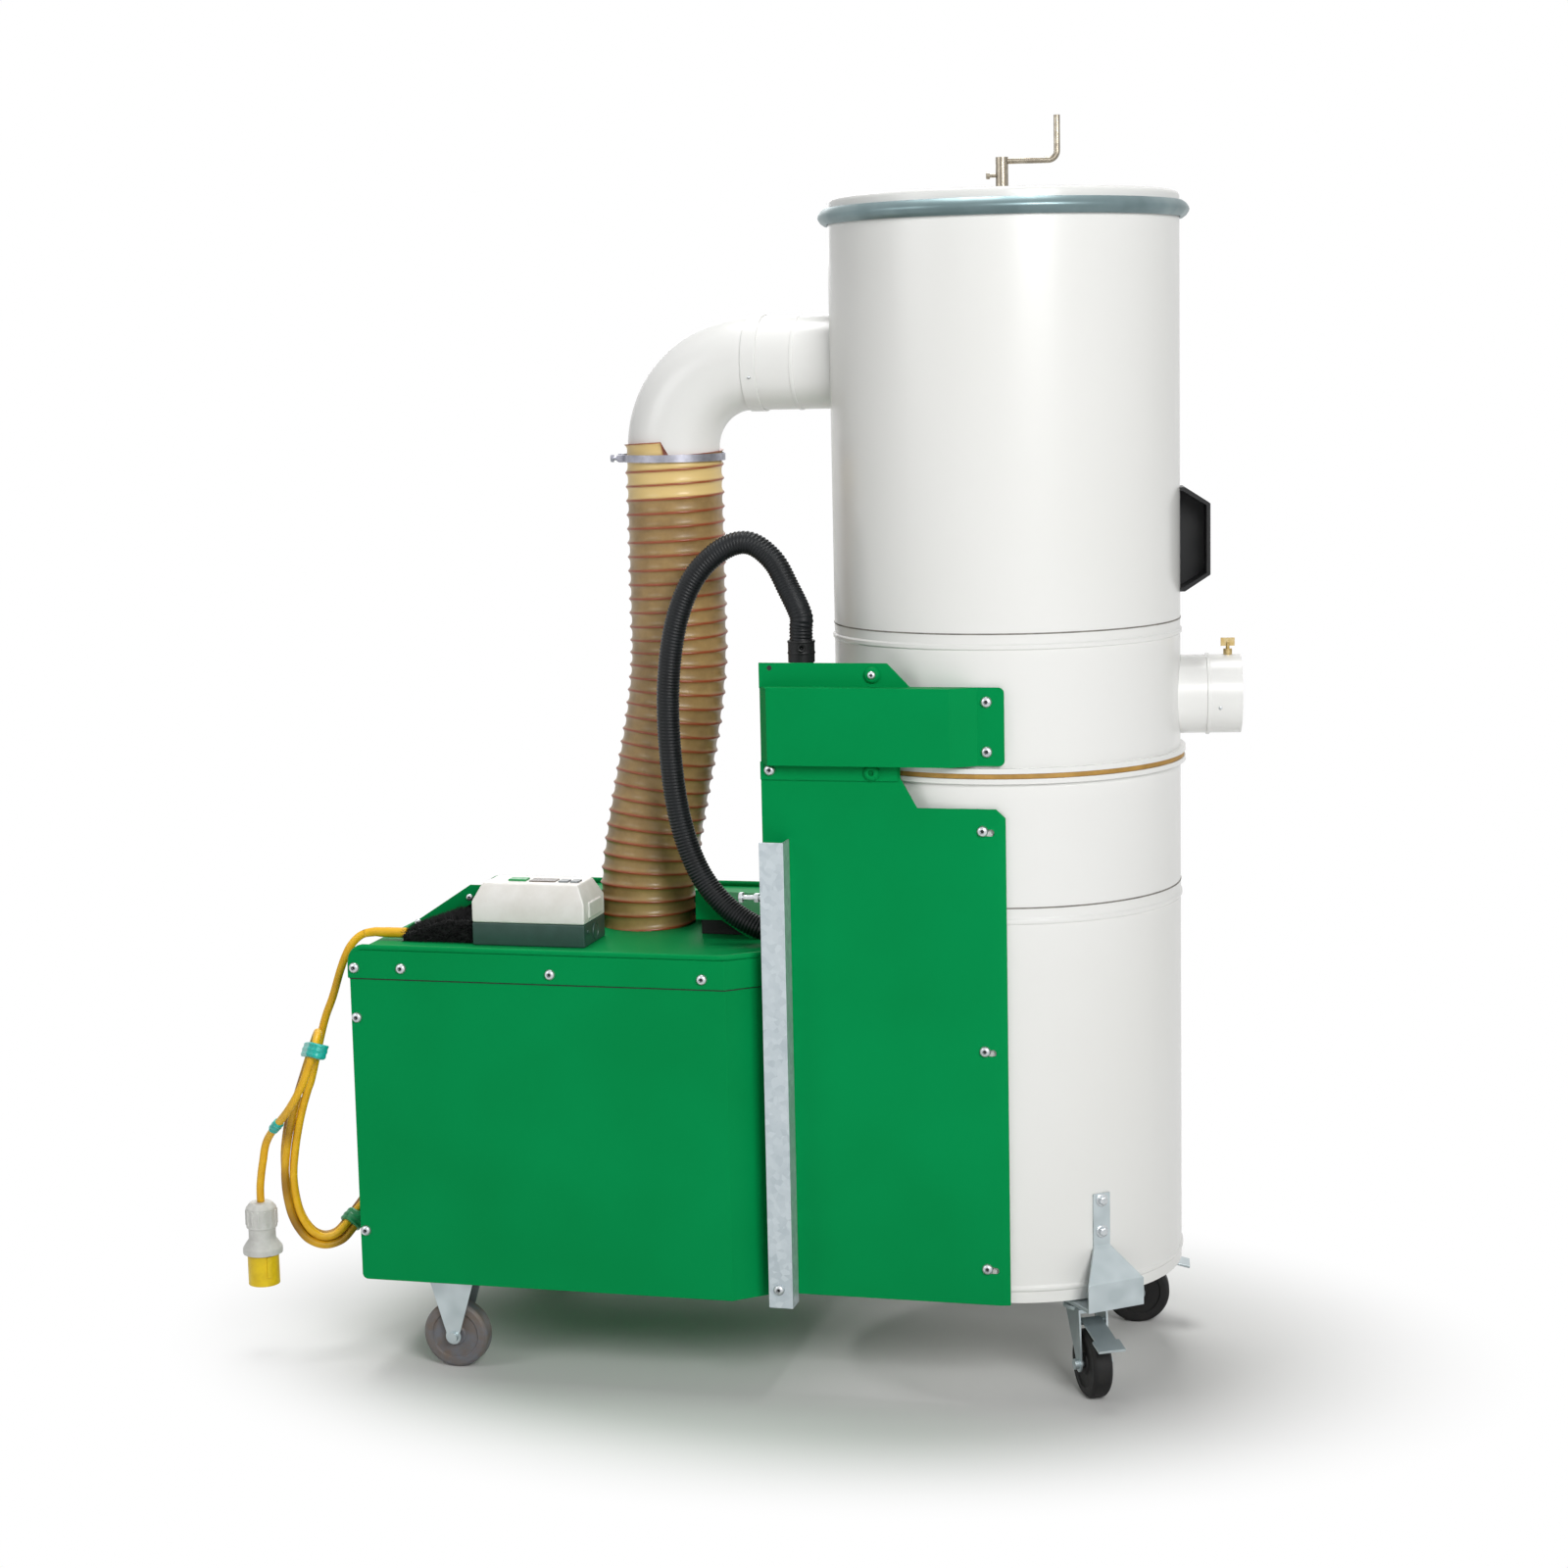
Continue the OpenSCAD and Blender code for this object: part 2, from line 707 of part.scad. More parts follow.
module front_side_plate() {
    bend_back = plate_bevel * tan(plate_bend);
    color(paint_green) intersection() {
        linear_extrude(plate_top_z)
            polygon([[-plate_left, -sheet_y], [plate_right - plate_bevel, -sheet_y],
                [plate_right, bend_back - sheet_y], [plate_right, bend_back - plate_face],
                [plate_right - plate_bevel, -plate_face], [-plate_left, -plate_face]]);
        upright(-plate_face - overrun, overrun)
            polygon([[-plate_left, plate_bottom_z], [plate_right, plate_bottom_z],
                [plate_right, plate_step_z - plate_bevel], [plate_right - plate_bevel, plate_step_z],
                [plate_step_x[1], plate_step_z], [plate_step_x[0], bin_top_z],
                [plate_step_x[0], plate_top_z], [-plate_left, plate_top_z]]);
    }
}

// A plate from x0 to x1 with its low and high corners at x1 rounded
module rounded_end(x0, x1, z0, z1, low_r, high_r) {
    wide_r = max(low_r, high_r);
    translate([x0, z0]) square([x1 - wide_r - x0, z1 - z0]);
    translate([x1 - wide_r * 2, z0 + low_r]) square([wide_r * 2, z1 - z0 - low_r - high_r]);
    translate([x1 - wide_r * 2, z0]) square([wide_r * 2 - low_r, low_r * 2]);
    translate([x1 - wide_r * 2, z1 - high_r * 2]) square([wide_r * 2 - high_r, high_r * 2]);
    translate([x1 - low_r, z0 + low_r]) circle(r = low_r);
    translate([x1 - high_r, z1 - high_r]) circle(r = high_r);
}

module front_upper_bracket() {
    web_face = sheet_y + hat_d + plate_t;
    rise_x = hat_rise_l - plate_left;
    color(paint_green) {
        intersection() {
            translate([0, 0, hat_z[0]]) linear_extrude(hat_z[1] - hat_z[0])
                polygon([[-plate_left, -sheet_y], [plate_t - plate_left, -sheet_y],
                    [rise_x + plate_t, plate_t - web_face], [hat_fold_x[0], plate_t - web_face],
                    [hat_fold_x[1], -sheet_y], [plate_right, -sheet_y], [plate_right, -plate_face],
                    [hat_fold_x[1] - plate_t / 2, -plate_face], [hat_fold_x[0] - plate_t / 2, -web_face],
                    [rise_x, -web_face]]);
            upright(-web_face - overrun, 0)
                rounded_end(-plate_left, plate_right, hat_z[0], hat_z[1], hat_end_r, hat_end_r);
        }
        for (z = [hat_z[0], hat_z[1] - plate_t]) translate([0, 0, z]) linear_extrude(plate_t)
            polygon([[-plate_left, -sheet_y], [rise_x, -web_face], [hat_fold_x[0] - plate_t / 2, -web_face],
                [hat_fold_x[1] - plate_t / 2, -plate_face], [hat_fold_x[1] - plate_t / 2, -sheet_y]]);
        upright(-plate_face, -sheet_y)
            polygon([[-plate_left, hat_z[1] - plate_t], [hat_flange_x[1], hat_z[1] - plate_t],
                [hat_flange_x[1], hat_z[1]], [hat_flange_x[0], hat_z[1] + hat_flange_h],
                [-plate_left, hat_z[1] + hat_flange_h]]);
        upright(-plate_face - plate_t, -plate_face)
            translate([-plate_left, hat_z[0] - hat_lap]) square([plate_left + hat_lap_x, hat_lap + plate_t]);
    }
}

module front_angle() {
    color(zinc) translate([angle_in - plate_left, -plate_face - angle_leg, angle_bottom_z]) {
        cube([angle_w, plate_t, angle_h]);
        translate([angle_w - plate_t, 0, 0]) cube([plate_t, angle_leg, angle_h]);
    }
}

// Plan of the fan case, shrunk by the sheet thicknesses that lie outside
module case_plan(inset) {
    polygon([[inset - case_left, inset - half_w], [-case_right - chamfer_l, inset - half_w],
        [-case_right - inset, inset + chamfer_d - half_w], [-case_right - inset, half_w - chamfer_d - inset],
        [-case_right - chamfer_l, half_w - inset], [inset - case_left, half_w - inset]]);
}

// Outline of the fan case from the front, its far corners rolled, shrunk at the far end and the top
module case_side(inset, low_z, high_z) {
    mirror([1, 0])
        rounded_end(case_right - overrun, case_left - inset, low_z, high_z, case_fold_r - inset,
            case_roll_r - inset);
}

module case_block(inset, low_z, high_z) {
    intersection() {
        linear_extrude(high_z) case_plan(inset);
        upright(-case_w, case_w) case_side(inset, low_z, high_z);
    }
}

module fan_case() {
    body_top_z = case_top_z - case_wall;
    color(paint_green) difference() {
        case_block(case_wall, case_bottom_z, body_top_z);
        case_block(case_wall * 2, case_bottom_z + case_wall, case_top_z + case_h);
    }
}

module fan_cover() {
    color(paint_green) {
        difference() {
            case_block(0, case_bottom_z, case_top_z);
            case_block(case_wall, case_bottom_z - case_h, case_top_z - case_wall);
            linear_extrude(case_top_z - cover_skirt) square(case_left * 4, center = true);
            translate([hose_base[0], hose_base[1], case_top_z - cover_skirt])
                cylinder(r = outlet_bore_r, h = cover_skirt + overrun);
        }
        translate([hose_base[0], hose_base[1], case_top_z]) ring(outlet_bore_r, outlet_r, spigot_h);
    }
}

// Outline of the hood shrunk by t, with an open foot that reaches below the cover's top
module hood_profile(t, foot = 0) {
    side = t / sin(hood_slope);
    crest = t / tan(hood_slope) - side;
    half = hood_base_l / 2 - side;
    skirt = foot > 0 ? [[half, -foot], [-half, -foot]] : [];
    polygon(concat([[-half, 0], [-hood_top_l / 2 - crest, hood_h - t], [hood_top_l / 2 + crest, hood_h - t],
        [half, 0]], skirt));
}

// Room under the hood's roof lowered by t, which falls from the front to the rear
module under_roof(t) {
    high = hood_h - t / cos(roof_slope);
    past = hood_rear_y + overrun;
    rotate([0, 0, 90]) upright(-hood_base_l, hood_base_l)
        polygon([[hood_front_y, -overrun], [past, -overrun],
            [past, high - (past - hood_front_y) * tan(roof_slope)], [hood_front_y, high]]);
}

// Room around the hose in the pieces that stand behind it
module hose_slot(h) {
    translate([hose_base[0], hose_base[1], case_top_z - overrun]) {
        cylinder(r = hose_slot_r, h = h + overrun * 2);
        translate([-hose_slot_r, hood_front_y - hose_base[1] - overrun, 0])
            cube([hose_slot_r * 2, hose_base[1] - hood_front_y + overrun, h + overrun * 2]);
    }
}

module exhaust_hood() {
    rise = hood_fall / hood_h;
    left_foot = hood_x - hood_base_l / 2 + hood_left_lip / sin(hood_slope);
    left_gap = hood_h - hood_left_lip;
    right_foot = hood_x + hood_base_l / 2 - hood_left_lip / sin(hood_slope);
    right_gap = hood_h - hood_lip;
    color(paint_green) difference() {
        translate([hood_x, 0, case_top_z]) difference() {
            intersection() {
                upright(hood_front_y, hood_rear_y) hood_profile(0);
                under_roof(0);
            }
            intersection() {
                upright(hood_front_y + case_wall, hood_rear_y - case_wall) hood_profile(case_wall, overrun);
                under_roof(case_wall);
            }
        }
        translate([0, 0, case_top_z]) upright(hood_front_y - overrun, hood_front_y + overrun)
            polygon([[left_foot, -overrun], [left_foot, 0], [left_foot + left_gap * rise, left_gap],
                [hood_step_x, left_gap], [hood_step_x, right_gap],
                [right_foot - right_gap * rise, right_gap], [right_foot, 0], [right_foot, -overrun]]);
        hose_slot(hood_h);
    }
}

module exhaust_foam() {
    foam_h = hood_h - hood_lip + foam_gap * 2;
    color(rubber_black) difference() {
        translate([hood_x, 0, case_top_z]) intersection() {
            upright(hood_front_y + foam_setback, hood_rear_y - foam_rear_in) intersection() {
                hood_profile(foam_gap);
                translate([-hood_base_l / 2, 0]) square([hood_base_l, foam_h]);
            }
            under_roof(foam_gap);
        }
        hose_slot(hood_h);
    }
}

module cable_brush() {
    knee_x = brush_x[0] + (brush_x[1] - brush_x[0]) * brush_rise_share;
    color(rubber_black) translate([0, 0, case_top_z]) upright(brush_y[0], brush_y[1])
        polygon([[brush_x[0], 0], [brush_x[1], 0], [brush_x[1], brush_h[1]], [knee_x, brush_h[1]],
            [brush_x[0], brush_h[0]]]);
}

module control_base() {
    color("#34504a") translate([control_x - control_l / 2, control_front_y, case_top_z])
        cube([control_l, control_d, control_base_h]);
}

module bevel_profile(l) {
    polygon([[-l / 2, 0], [l / 2, 0], [l / 2, control_cover_h - control_bevel * 2],
        [l / 2 - control_bevel, control_cover_h], [control_bevel - l / 2, control_cover_h],
        [-l / 2, control_cover_h - control_bevel * 2]]);
}

module control_cover() {
    color("#edeae7") translate([control_x, control_front_y + control_d / 2, case_top_z + control_base_h])
        intersection() {
            upright(-control_d, control_d) bevel_profile(control_l);
            rotate([0, 0, 90]) upright(-control_l, control_l) bevel_profile(control_d);
        }
}

module castor_bracket() {
    far = tower_r + bracket_out;
    color(zinc) {
        intersection() {
            upright(-bracket_w / 2, bracket_w / 2)
                polygon([[strap_y, bracket_z[3]], [strap_y, bracket_z[2]], [far, bracket_z[1]],
                    [far, bracket_z[0] + bracket_base_t], [far - bracket_in, bracket_z[0] + bracket_base_t],
                    [far - bracket_in, bracket_z[0]], [far + bracket_t, bracket_z[0]],
                    [far + bracket_t, bracket_z[1] + bracket_t / 2],
                    [strap_y + bracket_t, bracket_z[2] + bracket_t / 2],
                    [strap_y + bracket_t, bracket_z[3]]]);
            rotate([0, 0, 90]) upright(-far * 2, far * 2)
                polygon([[-bracket_w / 2, bracket_z[0]], [bracket_w / 2, bracket_z[0]],
                    [bracket_w / 2, bracket_z[1]], [strap_w / 2, bracket_z[2]], [strap_w / 2, bracket_z[3]],
                    [-strap_w / 2, bracket_z[3]], [-strap_w / 2, bracket_z[2]],
                    [-bracket_w / 2, bracket_z[1]]]);
        }
        translate([swivel_reach, 0, 0]) {
            translate([-castor_plate[0] / 2, -castor_plate[1] / 2, castor_top_z - castor_plate[2]])
                cube(castor_plate);
            translate([0, 0, race_z]) cylinder(d = race_d, h = race_h);
            translate([0, 0, crown_z]) cylinder(d = pin_d, h = castor_top_z - crown_z);
            translate([0, 0, crown_z - crown_gap - rivet_h]) cylinder(d = rivet_d, h = rivet_h);
            translate([0, 0, crown_z - crown_gap - rivet_h]) cylinder(d = pin_d, h = rivet_h + crown_t);
        }
    }
}

// A pair of legs, drawn in trail and height, on both sides of the wheel
module fork_legs(wheel_r, reach, top, top_z) {
    spread = fork_eye_r * fork_spread_share;
    for (side = [-1, 1]) translate([0, side * (fork_half + fork_t / 2), 0])
        upright(-fork_t / 2, fork_t / 2) {
            polygon([[top[0], top_z], [top[1], top_z], [reach + spread, wheel_r + fork_eye_r / 2],
                [reach + fork_eye_r / 2, wheel_r - spread], [reach - fork_eye_r / 2, wheel_r - spread],
                [reach - spread, wheel_r + fork_eye_r / 2]]);
            translate([reach, wheel_r]) circle(r = fork_eye_r);
        }
}

module axle(wheel_r, reach) {
    axle_half = fork_half + fork_t + nut_h;
    translate([reach, -axle_half, wheel_r]) rotate([-90, 0, 0]) {
        cylinder(d = axle_d, h = axle_half * 2);
        cylinder(d = nut_d, h = nut_h);
        translate([0, 0, axle_half * 2 - nut_h]) cylinder(d = nut_d, h = nut_h);
    }
}

module swivel_fork() {
    wheel_r = swivel_wheel_d / 2;
    color(zinc) {
        translate([0, 0, crown_z]) difference() {
            union() {
                cylinder(d = crown_d, h = crown_t);
                translate([fork_top_w[0], -fork_half - fork_t, 0])
                    cube([fork_top_w[1] - fork_top_w[0], (fork_half + fork_t) * 2, crown_t]);
            }
            translate([0, 0, -overrun]) cylinder(d = pin_d + run_fit * 2, h = crown_t + overrun * 2);
        }
        fork_legs(wheel_r, trail, fork_top_w, crown_z + crown_t);
        axle(wheel_r, trail);
        translate([pedal_pin[0], -fork_half - fork_t, pedal_pin[1]]) rotate([-90, 0, 0])
            cylinder(d = pedal_pin_d, h = (fork_half + fork_t) * 2);
    }
}

module brake_pedal() {
    color(rubber_black) translate([pedal_pin[0], 0, pedal_pin[1]]) rotate([0, pedal_slope, 0]) difference() {
        union() {
            translate([0, -pedal_w / 2, 0]) rotate([-90, 0, 0]) cylinder(d = pedal_barrel_d, h = pedal_w);
            translate([0, -pedal_w / 2, pedal_barrel_d / 2 - pedal_t]) cube([pedal_reach, pedal_w, pedal_t]);
            translate([pedal_reach - pedal_tip_l, -pedal_tip_w / 2, pedal_barrel_d / 2 - pedal_t])
                cube([pedal_tip_l, pedal_tip_w, pedal_t]);
        }
        translate([0, -pedal_w, 0]) rotate([-90, 0, 0])
            cylinder(d = pedal_pin_d + run_fit * 2, h = pedal_w * 2);
    }
}

module wheel(d) {
    half = wheel_w / 2;
    face = half - wheel_face_in;
    bore_r = axle_d / 2 + run_fit;
    hub_r = wheel_hub_d / 2;
    rim_r = d / 2 - wheel_rim;
    edge_r = d / 2 - tread_bevel;
    rotate([-90, 0, 0]) rotate_extrude()
        polygon([[bore_r, -half], [hub_r, -half], [hub_r, -face], [rim_r, -face], [rim_r, -half],
            [edge_r, -half], [d / 2, tread_bevel - half], [d / 2, half - tread_bevel], [edge_r, half],
            [rim_r, half], [rim_r, face], [hub_r, face], [hub_r, half], [bore_r, half]]);
}

// Places a swivel castor's piece under its bracket, swung to its direction
module at_swivel(side, swing) {
    translate([swivel_reach * cos(bracket_turn), side * swivel_reach * sin(bracket_turn), 0])
        rotate([0, 0, swing]) children();
}

module at_trail() {
    translate([trail, 0, swivel_wheel_d / 2]) children();
}

module rigid_fork() {
    wheel_r = rigid_wheel_d / 2;
    top_z = case_bottom_z - rigid_plate[2];
    color(zinc) {
        translate([-rigid_plate[0] / 2, -rigid_plate[1] / 2, top_z]) cube(rigid_plate);
        fork_legs(wheel_r, 0, [-rigid_top_w / 2, rigid_top_w / 2], top_z);
        axle(wheel_r, 0);
    }
}

module at_rigid(side) {
    translate([rigid_x, side * rigid_y, 0]) children();
}

module cord_gland() {
    color(rubber_black) translate(cord_corner + gland_end) {
        rotate([0, 90, 0]) cylinder(d = gland_d, h = gland_l);
        translate([0, -gland_foot_w / 2, -gland_end[2]]) cube([gland_l, gland_foot_w, gland_end[2]]);
    }
}

function cord_path(way) = spline([for (p = way) cord_corner + p], route_steps);

module cord_lead() {
    color(cord_yellow) even_tube(cord_path(lead_way), cord_d / 2);
}

module cord_hank() {
    path = cord_path(hank_way);
    last = len(path) - 1;
    swell = [for (i = [0 : last]) ease(max(0, i / last - hank_end_share) / (1 - hank_end_share))];
    color(cord_yellow) tube(path, [for (s = swell) hank_r + (hank_end_r - hank_r) * s], cord_sides);
}

module cord_tail() {
    color(cord_yellow) even_tube(cord_path(tail_way), cord_d / 2);
}

module at_plug() {
    last = tail_way[len(tail_way) - 1];
    translate([cord_corner[0] + last[0], cord_corner[1] + last[1], cord_corner[2]]) children();
}

module plug_body() {
    color("#dcdcd8") at_plug() rotate_extrude()
        polygon([[0, plug_z[1]], [plug_flange_r, plug_z[1]], [plug_flange_r, plug_z[2]],
            [plug_neck_r, plug_z[3]], [plug_neck_r, plug_z[4]], [plug_cap_r, plug_z[4]],
            [plug_cap_r, plug_z[5]], [plug_top_r, plug_z[6]], [0, plug_z[6]]]);
}

module plug_sleeve() {
    color("#f0ce00") at_plug() difference() {
        translate([0, 0, plug_z[0]]) cylinder(r = plug_sleeve_r, h = plug_z[1] - plug_z[0]);
        translate([0, 0, plug_z[0] - overrun])
            cylinder(r = plug_sleeve_bore, h = plug_sleeve_depth + overrun);
    }
}

module swivel_bracket(side) {
    rotate([0, 0, side * bracket_turn]) castor_bracket();
}

at_tower() dust_bin();
at_tower() bin_floor();
at_tower() bin_seal();
at_tower() inlet_section();
at_tower() inlet_pipe();
at_tower() inlet_screw();
at_tower() filter_housing();
at_tower() tower_lid();
at_tower() lid_clamp_ring();
at_tower() crank_bush();
at_tower() crank();
at_tower() tower_handle();
at_tower() outlet_spigot();
at_tower() outlet_sleeve();
at_tower() outlet_elbow();
at_tower() hose_clamp();
at_tower() suction_hose();
at_tower() bypass_elbow();
at_tower() bypass_hose();
at_tower() bypass_spigot();
at_tower() front_side_plate();
at_tower() rear_copy() front_side_plate();  // rear_side_plate
at_tower() front_upper_bracket();
at_tower() rear_copy() front_upper_bracket();  // rear_upper_bracket
at_tower() front_angle();
at_tower() rear_copy() front_angle();  // rear_angle
at_tower() fan_case();
at_tower() fan_cover();
at_tower() exhaust_hood();
at_tower() exhaust_foam();
at_tower() cable_brush();
at_tower() control_base();
at_tower() control_cover();
at_tower() swivel_bracket(-1);  // front_castor_bracket
at_tower() swivel_bracket(1);  // rear_castor_bracket
at_tower() at_swivel(-1, front_swing) swivel_fork();  // front_swivel_fork
at_tower() at_swivel(1, rear_swing) swivel_fork();  // rear_swivel_fork
at_tower() at_swivel(-1, front_swing) at_trail() color(rubber_black) wheel(swivel_wheel_d);  // front_swivel_wheel
at_tower() at_swivel(1, rear_swing) at_trail() color(rubber_black) wheel(swivel_wheel_d);  // rear_swivel_wheel
at_tower() at_swivel(-1, front_swing) brake_pedal();  // front_brake_pedal
at_tower() at_swivel(1, rear_swing) brake_pedal();  // rear_brake_pedal
at_tower() at_rigid(-1) rigid_fork();  // front_rigid_fork
at_tower() at_rigid(1) rigid_fork();  // rear_rigid_fork
at_tower() at_rigid(-1) translate([0, 0, rigid_wheel_d / 2]) color("#77787c") wheel(rigid_wheel_d);  // front_rigid_wheel
at_tower() at_rigid(1) translate([0, 0, rigid_wheel_d / 2]) color("#77787c") wheel(rigid_wheel_d);  // rear_rigid_wheel
at_tower() cord_gland();
at_tower() cord_lead();
at_tower() cord_hank();
at_tower() cord_tail();
at_tower() plug_body();
at_tower() plug_sleeve();
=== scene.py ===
import json
import math

import bmesh
import bpy
from mathutils import Matrix, Vector
from mathutils.bvhtree import BVHTree

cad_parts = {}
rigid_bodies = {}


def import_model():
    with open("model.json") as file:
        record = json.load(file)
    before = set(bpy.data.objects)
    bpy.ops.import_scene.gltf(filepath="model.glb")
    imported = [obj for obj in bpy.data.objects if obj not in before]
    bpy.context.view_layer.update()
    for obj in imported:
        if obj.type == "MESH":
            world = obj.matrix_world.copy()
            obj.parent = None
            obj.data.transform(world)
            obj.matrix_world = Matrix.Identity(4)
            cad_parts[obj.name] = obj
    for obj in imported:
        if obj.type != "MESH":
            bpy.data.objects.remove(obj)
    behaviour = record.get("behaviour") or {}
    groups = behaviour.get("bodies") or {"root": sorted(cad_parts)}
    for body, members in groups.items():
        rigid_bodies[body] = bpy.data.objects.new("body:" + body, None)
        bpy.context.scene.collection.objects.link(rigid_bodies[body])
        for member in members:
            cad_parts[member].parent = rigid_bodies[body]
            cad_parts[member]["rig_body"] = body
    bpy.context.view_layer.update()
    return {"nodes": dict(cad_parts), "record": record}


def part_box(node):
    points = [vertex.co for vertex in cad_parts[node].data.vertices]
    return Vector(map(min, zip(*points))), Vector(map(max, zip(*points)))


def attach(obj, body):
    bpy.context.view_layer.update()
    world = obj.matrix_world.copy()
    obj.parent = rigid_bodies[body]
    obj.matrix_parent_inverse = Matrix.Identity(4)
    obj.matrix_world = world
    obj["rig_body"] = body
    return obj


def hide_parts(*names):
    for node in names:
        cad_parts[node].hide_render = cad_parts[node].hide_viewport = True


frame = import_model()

mm = 0.001
scene = bpy.context.scene
cadNodes = frame["nodes"]
slotOf = {part["node"]: part["material_slot"] for part in frame["record"]["subparts"]}
binLow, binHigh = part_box("dust_bin")
towerX = (binLow[0] + binHigh[0]) / 2    # the tower's axis in the shared frame


# tower millimetres to the shared frame
def at(x, y, z):
    return Vector((x * mm + towerX, y * mm, z * mm))


def inScene(name, data):
    holder = bpy.data.objects.new(name, data)
    scene.collection.objects.link(holder)
    return holder


def linear(hexCode):
    parts = [int(hexCode[i:i + 2], 16) / 255 for i in (1, 3, 5)]
    return tuple(c / 12.92 if c <= 0.04045 else ((c + 0.055) / 1.055) ** 2.4 for c in parts) + (1.0,)


# one node with its sockets linked or set, and its settings
def addNode(tree, kind, links=None, **settings):
    node = tree.nodes.new(kind)
    for key, value in settings.items():
        setattr(node, key, value)
    for key, value in (links or {}).items():
        if isinstance(value, bpy.types.NodeSocket):
            tree.links.new(value, node.inputs[key])
        else:
            node.inputs[key].default_value = value
    return node


def emptyTree(holder):
    holder.use_nodes = True
    holder.node_tree.nodes.clear()
    return holder.node_tree


# sums on sockets or numbers
def calc(tree, operation, *values):
    return addNode(tree, "ShaderNodeMath", dict(enumerate(values)), operation=operation).outputs[0]


def vectorCalc(tree, operation, links):
    return addNode(tree, "ShaderNodeVectorMath", links, operation=operation).outputs[0]


def ranged(tree, value, low, high, toLow=0.0, toHigh=1.0, way="LINEAR"):
    return addNode(tree, "ShaderNodeMapRange", {
        "Value": value, "From Min": low, "From Max": high, "To Min": toLow, "To Max": toHigh},
        interpolation_type=way).outputs[0]


def mixed(tree, share, first, second):
    return addNode(tree, "ShaderNodeMix", {0: share, 6: first, 7: second}, data_type="RGBA").outputs[2]


# patches of about the given size in millimetres
def noise(tree, place, size, detail, rough=0.5):
    return addNode(tree, "ShaderNodeTexNoise", {
        "Vector": place, "Scale": 1 / (size * mm), "Detail": detail, "Roughness": rough}).outputs[0]


# 1 for what the camera sees, straight or in a shiny or clear surface
def seenRays(tree):
    rays = addNode(tree, "ShaderNodeLightPath").outputs
    seen = calc(tree, "MAXIMUM", rays["Is Camera Ray"], rays["Is Glossy Ray"])
    return calc(tree, "MAXIMUM", seen, rays["Is Transmission Ray"])


# camera and studio
studio = {
    "eye": (835.5, -4618.9, 1623.4), "turn": 0.25608, "pitch": 0.1429, "roll": 0.02171, "lens": 67.38,
    "sensor": 36, "floorSize": 40.0, "floorTints": ("#DCDCDA", "#D6D6D4"), "floorPatch": 400,
    "fade": (430, 800), "stretch": 0.68, "worldLevel": 0.1,
    "lamps": {    # place and aim in tower millimetres, size in metres, watts
        "keyLamp": ((2300, -3900, 3000), (-250, 0, 800), 2.0, 164),
        "fillLamp": ((-3300, -3000, 2700), (-350, 0, 900), 2.0, 34),
        "topLamp": ((-800, 1300, 8800), (-300, 0, 0), 3.6, 430),
        "backLamp": ((-1500, 4200, 3000), (-300, 0, 900), 2.4, 40),
    },
}


def setCamera():
    turn, pitch, roll = studio["turn"], studio["pitch"], studio["roll"]
    ahead = Vector((-math.sin(turn) * math.cos(pitch), math.cos(turn) * math.cos(pitch), -math.sin(pitch)))
    right = Vector((math.cos(turn), math.sin(turn), 0))
    up = right.cross(ahead)
    across = math.cos(roll) * right - math.sin(roll) * up
    upright = math.sin(roll) * right + math.cos(roll) * up
    camera = bpy.data.cameras.new("photoCamera")
    camera.sensor_width, camera.lens = studio["sensor"], studio["lens"]
    scene.camera = inScene("photoCamera", camera)
    scene.camera.matrix_world = Matrix.Translation(at(*studio["eye"])) @ Matrix(
        (across, upright, -ahead)).transposed().to_4x4()


def setFloor():
    material = bpy.data.materials.new("paleFloor")
    tree = emptyTree(material)
    grain = addNode(tree, "ShaderNodeTexNoise", {"Scale": 1 / (studio["floorPatch"] * mm), "Detail": 3.0})
    tint = mixed(tree, grain.outputs[0], *(linear(c) for c in studio["floorTints"]))
    lit = addNode(tree, "ShaderNodeBsdfPrincipled", {"Base Color": tint, "Roughness": 0.9})
    # away from the object the camera sees the floor turn into the white background
    place = addNode(tree, "ShaderNodeTexCoord").outputs["Object"]
    oval = vectorCalc(tree, "MULTIPLY", {0: place, 1: (studio["stretch"], 1, 1)})
    away = addNode(tree, "ShaderNodeVectorMath", {0: oval}, operation="LENGTH").outputs["Value"]
    fade = ranged(tree, away, *(reach * mm for reach in studio["fade"]), way="SMOOTHSTEP")
    share = calc(tree, "MULTIPLY", fade, seenRays(tree))
    white = addNode(tree, "ShaderNodeEmission", {"Color": (1, 1, 1, 1), "Strength": 1.0})
    shader = addNode(tree, "ShaderNodeMixShader", {0: share, 1: lit.outputs[0], 2: white.outputs[0]})
    addNode(tree, "ShaderNodeOutputMaterial", {"Surface": shader.outputs[0]})
    half = studio["floorSize"] / 2
    mesh = bpy.data.meshes.new("floor")
    corners = [(-half, -half, 0), (half, -half, 0), (half, half, 0), (-half, half, 0)]
    mesh.from_pydata(corners, [], [(0, 1, 2, 3)])
    mesh.materials.append(material)
    inScene("floor", mesh)


def setLight():
    scene.world = bpy.data.worlds.new("studioWorld")
    tree = emptyTree(scene.world)
    level = ranged(tree, seenRays(tree), 0.0, 1.0, studio["worldLevel"], 1.0)
    shader = addNode(tree, "ShaderNodeBackground", {"Color": (1, 1, 1, 1), "Strength": level})
    addNode(tree, "ShaderNodeOutputWorld", {"Surface": shader.outputs[0]})
    for name, (place, aim, size, watts) in studio["lamps"].items():
        lamp = bpy.data.lights.new(name, "AREA")
        lamp.size, lamp.energy = size, watts
        holder = inScene(name, lamp)
        holder.location = at(*place)
        holder.rotation_euler = (at(*aim) - at(*place)).to_track_quat("-Z", "Y").to_euler()
    scene.view_settings.view_transform = "Standard"


